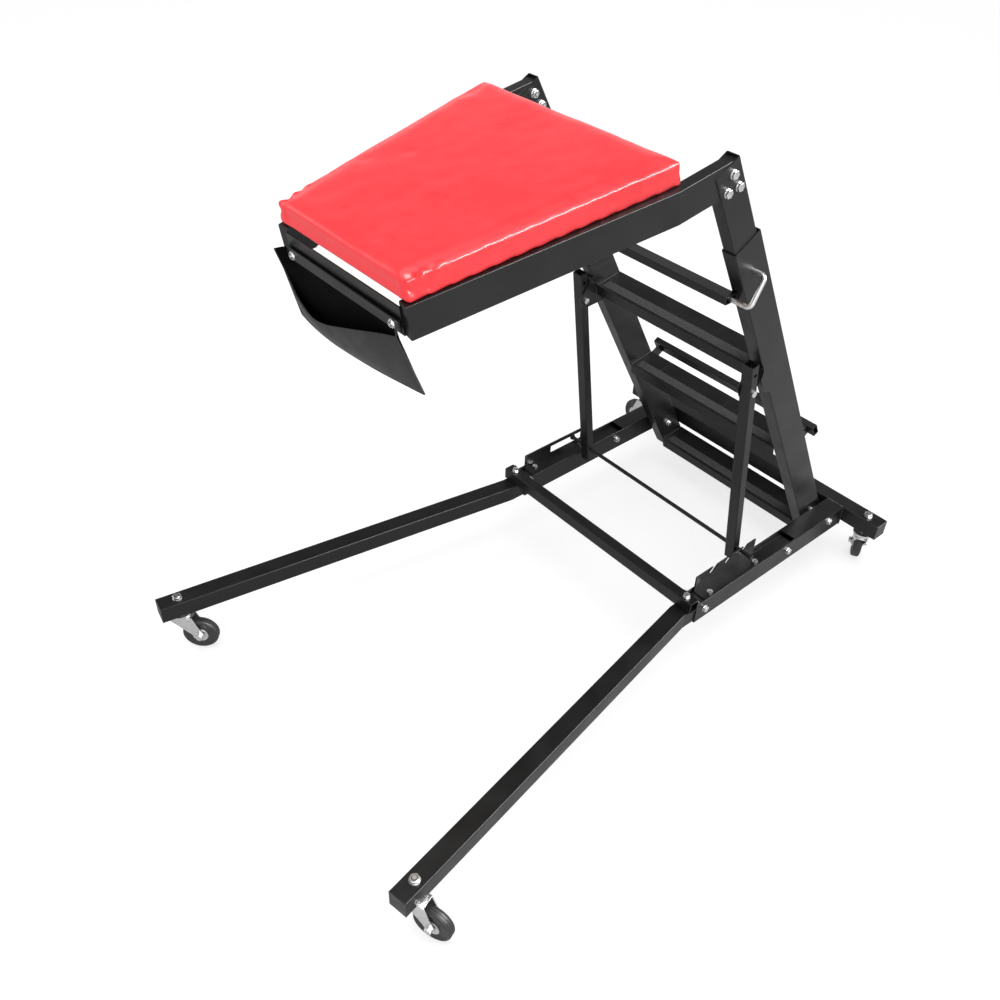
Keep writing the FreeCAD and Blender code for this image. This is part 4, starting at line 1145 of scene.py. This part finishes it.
@dataclass
class Cushion:
    """The red vinyl pad, swollen by simulation over its flat underside, then folded.

    Attributes:
        rear: How far its rear edge is from the arms' frame.
        length: From its rear edge to its front one.
        rear_half: Half its width at the rear.
        front_half: Half its width at the front.
        thick: Its thickness.
        shrink: How much smaller each side of the unswollen block is.
        voxel: Spacing of the mesh.
        cap: The most that it swells anywhere.
        pressure: Air pressure in the simulation.
        steps: The simulation's steps in each frame.
        stiffness: The vinyl's, in the simulation.
        frames: How long the simulation runs.
        evening: How often the swelling is averaged with its neighbours'.
        drawn: How far the lower sides are drawn out to the board's edge.
        reach: How near to a side that starts.
        skirt: Height under which that starts, above the underside.
        tuck: Height under which it is full.
        wave: Height of the wide waves.
        ripple: Height of the narrow ones.
    """

    rear: float = 94.5 * MM
    length: float = 457.0 * MM
    rear_half: float = 224.0 * MM
    front_half: float = 158.0 * MM
    thick: float = 40.0 * MM
    shrink: float = 2.4 * MM
    voxel: float = 5.0 * MM
    cap: float = 5.0 * MM
    pressure: float = 4.0
    steps: int = 4
    stiffness: float = 20.0
    frames: int = 20
    evening: int = 6
    drawn: float = 2.2 * MM
    reach: float = 10 * MM
    skirt: float = 20 * MM
    tuck: float = 8 * MM
    wave: float = 1.5 * MM
    ripple: float = 0.6 * MM

    def outline(self, inset: float) -> list[tuple[float, float]]:
        """The pad's corners from above, drawn in by an inset.

        Args:
            inset: How far each side is drawn in.

        Returns:
            The corners, in order round the pad.
        """
        front = -self.rear - self.length
        return [(-self.front_half + inset, front + inset), (self.front_half - inset, front + inset),
                (self.rear_half - inset, -self.rear - inset),
                (-self.rear_half + inset, -self.rear - inset)]

    def block(self) -> bmesh.types.BMesh:
        """The slightly smaller block that the pad swells from.

        Returns:
            The block.
        """
        low = PLACES.arm_half_height + 0.6 * MM
        high = low + self.thick - 2 * self.shrink
        shape = bmesh.new()
        rings = [[shape.verts.new((x, y, z)) for x, y in self.outline(self.shrink)]
                 for z in (low, high)]
        shape.faces.new(rings[0][::-1])
        shape.faces.new(rings[1])
        for a in range(4):
            b = (a + 1) % 4
            shape.faces.new((rings[0][a], rings[0][b], rings[1][b], rings[1][a]))
        return shape

    def swell(self, pad: bpy.types.Object) -> None:
        """Inflate the pad as cloth, with its underside held and its movement capped.

        Args:
            pad: The pad, still as large as its block.
        """
        held = pad.vertex_groups.new(name="underside")
        low = PLACES.arm_half_height + 2 * MM
        start = [v.co.copy() for v in pad.data.vertices]
        held.add([i for i, co in enumerate(start) if co.z < low], 1.0, "ADD")
        cloth = pad.modifiers.new("swell", "CLOTH")
        cloth.settings.use_pressure = True
        cloth.settings.uniform_pressure_force = self.pressure
        cloth.settings.effector_weights.gravity = 0.0
        cloth.settings.vertex_group_mass = held.name
        cloth.settings.quality = self.steps
        cloth.settings.tension_stiffness = self.stiffness
        scene = bpy.context.scene
        for number in range(1, self.frames + 1):
            scene.frame_set(number)
        graph = bpy.context.evaluated_depsgraph_get()
        swollen = bpy.data.meshes.new_from_object(pad.evaluated_get(graph))
        places = [v.co.copy() for v in swollen.vertices]
        pad.modifiers.clear()
        rise = [max(0.0, min(self.cap, (new - old).dot(vertex.normal)))
                for vertex, old, new in zip(pad.data.vertices, start, places)]
        near = [[] for _ in rise]
        for edge in pad.data.edges:
            first, second = edge.vertices
            near[first].append(second)
            near[second].append(first)
        for _ in range(self.evening):
            rise = [(own + sum(rise[n] for n in others)) / (1 + len(others))
                    for own, others in zip(rise, near)]
        normals = [vertex.normal.copy() for vertex in pad.data.vertices]
        for vertex, out, amount in zip(pad.data.vertices, normals, rise):
            vertex.co += out * amount
        scene.frame_set(1)

    def build(self) -> None:
        """Make the pad and settle it over its CAD solid."""
        pad = solid("red_cushion", self.block(), Slot.RED_VINYL)
        remesh = pad.modifiers.new("even", "REMESH")
        remesh.mode = "VOXEL"
        remesh.voxel_size = self.voxel
        bake(pad)
        block = self.block()
        tree = BVHTree.FromBMesh(block)
        block.free()
        for vertex in pad.data.vertices:
            vertex.co = tree.find_nearest(vertex.co)[0]
        self.swell(pad)
        smooth = pad.modifiers.new("smooth", "SUBSURF")
        smooth.levels = smooth.render_levels = 1
        bake(pad)
        self.crease(pad)
        pad.data.transform(PLACES.arm)
        shade(pad.data, 80)
        settle(pad, Body.MAST, Slot.RED_VINYL, "cushion")

    def sides(self) -> list[tuple[Vector, float]]:
        """Outward direction of each side from above, and how far out it lies.

        Returns:
            A direction and a distance from the middle for each side.
        """
        corners = [Vector(corner) for corner in self.outline(0.0)]
        found = []
        for a, b in zip(corners, corners[1:] + corners[:1]):
            out = Vector((b.y - a.y, a.x - b.x)).normalized()
            found.append((out, out.dot(a)))
        return found

    def crease(self, pad: bpy.types.Object) -> None:
        """Draw the vinyl down over the board's edge, and press in its folds and waves.

        Args:
            pad: The swollen pad.
        """
        base = PLACES.arm_half_height
        sides = self.sides()
        normals = [vertex.normal.copy() for vertex in pad.data.vertices]
        for vertex, normal in zip(pad.data.vertices, normals):
            co = vertex.co
            start = co.copy()
            low = max(0.0, min(1.0, (base + self.skirt - co.z) / (self.skirt - self.tuck)))
            for out, far in sides:
                inside = far - out.dot(start.xy)
                if inside < self.reach:
                    shift = self.drawn * low * min(1.0, (self.reach - inside) / (7 * MM))
                    co.x += out.x * shift
                    co.y += out.y * shift
            share = max(0.0, min(1.0, (start.z - base) / self.thick))
            wave = noise.noise(Vector((start.x * 9, start.y * 7, 3.1)))
            fine = noise.noise(Vector((start.x * 30, start.y * 22, start.z * 30)))
            lift = share * (wave * self.wave + fine * self.ripple)
            depth = sum(fold.press(start, normal) for fold in FOLDS)
            co += normal * (lift - depth)
            co.z = max(co.z - 0.45 * MM * low, base + 0.15 * MM)


Line = tuple[tuple[float, float, float], ...]


def through(points: Line, share: float) -> Vector:
    """A place on a smooth curve through points, in metres from millimetres.

    Args:
        points: What the curve passes through.
        share: From 0 at the first point to 1 at the last.

    Returns:
        The place.
    """
    run = share * (len(points) - 1)
    number = min(int(run), len(points) - 2)
    t = run - number
    a, b, c, d = (Vector(points[max(0, min(len(points) - 1, number + k))]) for k in (-1, 0, 1, 2))
    curve = (b * 2 + (c - a) * t + (a * 2 - b * 5 + c * 4 - d) * t ** 2
             + (b * 3 - a - c * 3 + d) * t ** 3) / 2
    return curve * MM


@dataclass
class Pouch:
    """The black vinyl pouch, which hangs open and a little askew in front of the pad.

    Its lines are given as (across, out, up): out is towards the front from the front plate.
    """

    skin: float = 2.0 * MM
    welt: float = 1.5 * MM
    across: int = 60
    down: int = 26
    turn: float = 0.3
    top: Line = (
        (-156, 18, -4), (-149, 8, -3), (-138, 1.4, -3), (-60, 1.2, -3), (40, 1.2, -3),
        (128, 1.4, -3))
    rim: Line = (
        (-158, 11, -41), (-150, 11, -66), (-131, 13, -89), (-88, 20, -97), (-46, 23, -88),
        (5, 23, -69), (57, 19, -51), (95, 11, -41), (128, 4, -34))
    foot: Line = (
        (-146, 8, -124), (-112, 9, -132), (-60, 9, -136), (0, 8, -133), (60, 7, -127),
        (120, 5, -119), (170, 3, -112))

    def place(self, at: Vector) -> Vector:
        """The arm frame's place of an (across, out, up) one."""
        return Vector((at.x, -PLACES.arm_reach - 0.2 * MM - at.y, at.z))

    def front(self, u: float, v: float) -> Vector:
        """A place on the front panel: u across and v down, both from 0 to 1.

        Args:
            u: Across.
            v: Down.

        Returns:
            The place.
        """
        flat = through(self.rim, u).lerp(through(self.foot, u), v)
        flat.y += math.sin(math.pi * v) * math.sin(math.pi * u) * 5 * MM
        return self.place(flat)

    def back(self, u: float, v: float) -> Vector:
        """A place on the back panel, whose sides follow the front panel's below its rim.

        Args:
            u: Across.
            v: Down.

        Returns:
            The place.
        """
        ends = []
        for share in (0.0, 1.0):
            top, rim, foot = (through(line, share) for line in (self.top, self.rim, self.foot))
            ends.append(top.lerp(rim, v / self.turn) if v < self.turn
                        else rim.lerp(foot, (v - self.turn) / (1 - self.turn)))
        top, foot = through(self.top, u), through(self.foot, u)
        middle = top.lerp(foot, v)
        middle.y = top.y * (1 - v) ** 2 + foot.y * v ** 4
        near = max(0.0, 1 - u / 0.1), max(0.0, 1 - (1 - u) / 0.1)
        for share, end in zip(near, ends):
            middle = middle.lerp(end, share ** 1.5)
        return self.place(middle)

    def panel(self, shape: bmesh.types.BMesh, spot: Callable[[float, float], Vector]) -> None:
        """Add one panel as a grid of faces.

        Args:
            shape: What the faces are added to.
            spot: The panel's place at (u, v).
        """
        rows = [[shape.verts.new(spot(i / self.across, j / self.down))
                 for i in range(self.across + 1)] for j in range(self.down + 1)]
        for upper, lower in zip(rows, rows[1:]):
            for i in range(self.across):
                shape.faces.new((upper[i], upper[i + 1], lower[i + 1], lower[i]))

    def hem(self) -> None:
        """Run a thin welt round the pouch and along its rim."""
        shares = [number / 40 for number in range(41)]
        edge = [self.back(0.0, share) for share in shares]
        edge += [self.front(share, 1.0) for share in shares[1:]]
        edge += [self.back(1.0, 1 - share) for share in shares[1:]]
        rim = [self.front(share, 0.0) for share in shares]
        for name, path in (("pouch_welt", edge), ("pouch_hem", rim)):
            welt = tube_along(name, [PLACES.arm @ place for place in path], self.welt,
                              Slot.BLACK_VINYL, 8)
            settle(welt, Body.MAST, Slot.BLACK_VINYL)

    def stitch(self) -> None:
        """Sew along the rim and down both sides of the front panel."""
        spots = []
        paths = [lambda s: (s, 0.07), lambda s: (0.035, s), lambda s: (0.965, s)]
        for path, count in zip(paths, (52, 18, 18)):
            for number in range(count):
                share = 0.05 + 0.9 * number / count
                here, ahead = (PLACES.arm @ self.front(*path(s)) for s in (share, share + 0.01))
                turn = (ahead - here).to_track_quat("X", "Z").to_euler()
                out = PLACES.arm.to_3x3() @ Vector((0, -self.skin / 2, 0))
                spots.append(Spot(here + out, tuple(turn), (3.2 * MM, 0.9 * MM, 0.9 * MM)))
        REPEATERS[Form.BEAD].set_out("pouch_stitches", Body.MAST, Slot.BLACK_VINYL, spots)

    def build(self) -> None:
        """Make the pouch's lining and its outer panel as thick sheets, hemmed and sewn."""
        # The lining panel wears the painted-shade finish, near black for the shade inside the
        # pouch.
        for name, slot, spot in (("tool_pouch_lining", Slot.LINING, self.back),
                                 ("tool_pouch_front", Slot.BLACK_VINYL, self.front)):
            shape = bmesh.new()
            self.panel(shape, spot)
            bmesh.ops.recalc_face_normals(shape, faces=shape.faces)
            sheet = solid(name, shape, slot, place=PLACES.arm)
            thick = sheet.modifiers.new("sheet", "SOLIDIFY")
            thick.thickness = self.skin
            thick.offset = 0.0
            bake(sheet)
            shade(sheet.data, 50)
            settle(sheet, Body.MAST, slot, *(["tool_pouch"] if slot is Slot.BLACK_VINYL else []))
        self.hem()
        self.stitch()


TYRE = ((0.6, 4.1), (0.6, 16.0), (1.6, 16.8), (2.0, 18.5), (2.0, 27.5), (0.8, 29.5), (0.0, 31.0),
        (0.3, 33.5), (1.2, 35.5), (3.0, 36.9), (4.6, 37.5), (4.9, 36.5), (5.7, 36.5), (6.0, 37.5),
        (9.3, 37.5), (9.6, 36.5))
HUB = ((0.5, 4.2), (-1.6, 4.2), (-1.6, 7.0), (-0.5, 8.6), (-0.5, 14.0), (-1.1, 15.0),
       (-1.1, 16.2), (-0.5, 16.8), (0.5, 16.8), (0.5, 4.2))


@dataclass
class Caster:
    """One swivelling caster: zinc fork, axle and dark wheel.

    Its sections are in millimetres, as (in from the wheel's face, out from its axle).
    """

    place: str
    half: float = 10.0 * MM

    def profile(self) -> list[tuple[float, float]]:
        """The wheel's section, from one hub face to the other, as (along, out)."""
        side = [(x * MM - self.half, out * MM) for x, out in TYRE]
        return side + [(-x, out) for x, out in reversed(side)] + [side[0]]

    def hub(self, side: int) -> list[tuple[float, float]]:
        """The section of the zinc disc on one side of the wheel, as (along, out)."""
        return [(side * (x * MM - self.half), out * MM) for x, out in HUB]

    def build(self) -> None:
        """Dress the fork and axle, and turn a fuller wheel."""
        swivel, roller = f"{self.place}_swivel", f"{self.place}_roller"
        dress(swivel, Slot.ZINC, "plate", (f"{self.place}_fork",), corner=0.0, edge=0.5 * MM)
        dress(swivel, Slot.ZINC, "bolt", (f"{self.place}_axle",), corner=0.0)
        roll = joint(f"{self.place}_wheel_roll")
        heading = math.atan2(roll["axis"][1], roll["axis"][0])
        where = Matrix.Translation(Vector(roll["pos_m"])) @ Matrix.Rotation(heading, 4, "Z")
        wheel = solid(f"{self.place}_tyre", lathe(self.profile()), Slot.RUBBER, place=where)
        settle(wheel, roller, Slot.RUBBER, f"{self.place}_wheel")
        for side, name in ((1, "near"), (-1, "far")):
            disc = solid(f"{self.place}_{name}_hub", lathe(self.hub(side)), Slot.ZINC, place=where)
            settle(disc, roller, Slot.ZINC)


@dataclass(frozen=True)
class Lamp:
    """A soft area lamp.

    Attributes:
        name: The lamp's name.
        place: Where it stands.
        size: Its width, and its height too unless that is given.
        power: Its power in watts.
        aim: What it points at.
        height: Its height, if it isn't square.
        gloss_only: Whether it shows in reflections alone.
    """

    name: str
    place: tuple[float, float, float]
    size: float
    power: float
    aim: tuple[float, float, float] = (0.0, -0.6, 0.5)
    height: float = 0.0
    gloss_only: bool = False

    def build(self) -> None:
        """Add the lamp."""
        data = bpy.data.lights.new(self.name, "AREA")
        data.size = self.size
        if self.height:
            data.shape = "RECTANGLE"
            data.size_y = self.height
        data.energy = self.power
        lamp = add(self.name, data)
        lamp.visible_diffuse = not self.gloss_only
        turn = (Vector(self.aim) - Vector(self.place)).to_track_quat("-Z", "Y")
        lamp.matrix_world = Matrix.Translation(self.place) @ turn.to_matrix().to_4x4()


@dataclass
class Studio:
    """Pale floor, soft lamps and the camera.

    Attributes:
        azimuth: The camera's turn about the object, in radians.
        elevation: How steeply it looks down.
        roll: How far its picture is turned.
        place: Where it stands.
        focal_share: Its focal length as a share of its sensor's width.
        sensor: That width in millimetres.
        fill: The room's light.
        glow: The floor's own light.
        floor_gloss: That light in reflections across the floor, as low, high, start and end.
        floor_fade: What it is multiplied with along the floor, in the same way.
        sky: The room's light in reflections by height, as start, end, low and high.
        lamps: The lamps.
    """

    azimuth: float = math.radians(48.28)
    elevation: float = math.radians(39.6)
    roll: float = math.radians(2.07)
    place: tuple[float, float, float] = (1.1385, -1.8664, 1.5333)
    focal_share: float = 1.02506
    sensor: float = 36.0
    fill: float = 0.75
    glow: float = 0.66
    floor_gloss: tuple[float, float, float, float] = (0.05, 0.42, -1.2, 1.2)
    floor_fade: tuple[float, float, float, float] = (1.0, 0.15, 0.2, 2.8)
    sky: tuple[float, float, float, float] = (0.12, 0.6, 1.0, 0.14)
    lamps: tuple[Lamp, ...] = (
        Lamp("top_lamp", (0.3, -0.9, 3.4), 2.6, 42.0),
        Lamp("side_lamp", (3.0, -2.2, 2.2), 2.2, 26.0),
        Lamp("left_lamp", (-2.8, -2.4, 2.0), 2.2, 20.0),
        Lamp("edge_lamp", (2.3, 1.6, 2.5), 6.0, 620.0, (0.2, 1.59, 0.8), 1.2, True))

    def camera(self) -> None:
        """Set the camera at the photograph's angle."""
        az, el, roll = self.azimuth, self.elevation, self.roll
        ahead = Vector((-math.sin(az) * math.cos(el), math.cos(az) * math.cos(el), -math.sin(el)))
        right = ahead.cross(Vector((0, 0, 1))).normalized()
        up = right.cross(ahead)
        turned = right * math.cos(roll) + up * math.sin(roll)
        upward = up * math.cos(roll) - right * math.sin(roll)
        data = bpy.data.cameras.new("camera")
        data.sensor_width = self.sensor
        data.lens = self.sensor * self.focal_share
        data.clip_start = 0.05
        data.clip_end = 50
        camera = add("camera", data)
        basis = Matrix((turned, upward, -ahead)).transposed()
        camera.matrix_world = Matrix.Translation(Vector(self.place)) @ basis.to_4x4()
        bpy.context.scene.camera = camera

    def floor(self) -> None:
        """Lay a white floor that keeps the object's shadow."""
        shape = bmesh.new()
        bmesh.ops.create_grid(shape, x_segments=4, y_segments=4, size=12.0)
        mesh = bpy.data.meshes.new("floor")
        shape.to_mesh(mesh)
        shape.free()
        mesh.transform(Matrix.Translation((0, 0, CAD_BOX[0][2])))
        floor = add("floor", mesh)
        g = Graph("floor_finish")
        g.set(Roughness=1.0, Base_Color=(0.42, 0.42, 0.42, 1.0), Specular_IOR_Level=0.0,
              Emission_Color=(1.0, 1.0, 1.0, 1.0))
        path, split, side, choice = new_nodes(g.nodes, "LightPath", "SeparateXYZ", "Math", "Mix")
        side.operation = "MULTIPLY"
        choice.inputs["A"].default_value = self.glow
        for source, target in (
                (g.coords.outputs["Object"], split.inputs["Vector"]),
                (g.spread(split.outputs["X"], *self.floor_gloss), side.inputs[0]),
                (g.spread(split.outputs["Y"], *self.floor_fade), side.inputs[1]),
                (path.outputs["Is Glossy Ray"], choice.inputs["Factor"]),
                (side.outputs["Value"], choice.inputs["B"])):
            g.links.new(source, target)
        g.feed("Emission Strength", choice.outputs["Result"])
        mesh.materials.append(g.material)

    def world(self) -> None:
        """Fill the room with even white light."""
        world = bpy.data.worlds.new("room")
        bpy.context.scene.world = world
        world.use_nodes = True
        nodes, links = world.node_tree.nodes, world.node_tree.links
        background = nodes["Background"]
        background.inputs["Color"].default_value = (1.0, 1.0, 1.0, 1.0)
        path, where, split, sky, glossy, seen = new_nodes(
            nodes, "LightPath", "TexCoord", "SeparateXYZ", "MapRange", "Mix", "Mix")
        for name, number in zip(RANGE, self.sky):
            sky.inputs[name].default_value = number
        glossy.inputs["A"].default_value = self.fill
        seen.inputs["B"].default_value = 1.0
        for source, target in (
                (where.outputs["Generated"], split.inputs["Vector"]),
                (split.outputs["Z"], sky.inputs["Value"]),
                (path.outputs["Is Glossy Ray"], glossy.inputs["Factor"]),
                (sky.outputs["Result"], glossy.inputs["B"]),
                (path.outputs["Is Camera Ray"], seen.inputs["Factor"]),
                (glossy.outputs["Result"], seen.inputs["A"]),
                (seen.outputs["Result"], background.inputs["Strength"])):
            links.new(source, target)

    def build(self) -> None:
        """Set the whole studio."""
        bpy.context.scene.view_settings.view_transform = "Standard"
        self.camera()
        self.floor()
        self.world()
        for lamp in self.lamps:
            lamp.build()


def main() -> None:
    """Build the studio and every sub-assembly."""
    logging.basicConfig(level=logging.INFO, format="%(message)s")
    Studio().build()
    for part in (Chassis(), Ladder(), Props(), Mast(), LockPins(), Cushion(), Pouch()):
        part.build()
    for place in ("front_right", "front_left", "rear_right", "rear_left"):
        Caster(place).build()


if __name__ == "__main__":
    main()
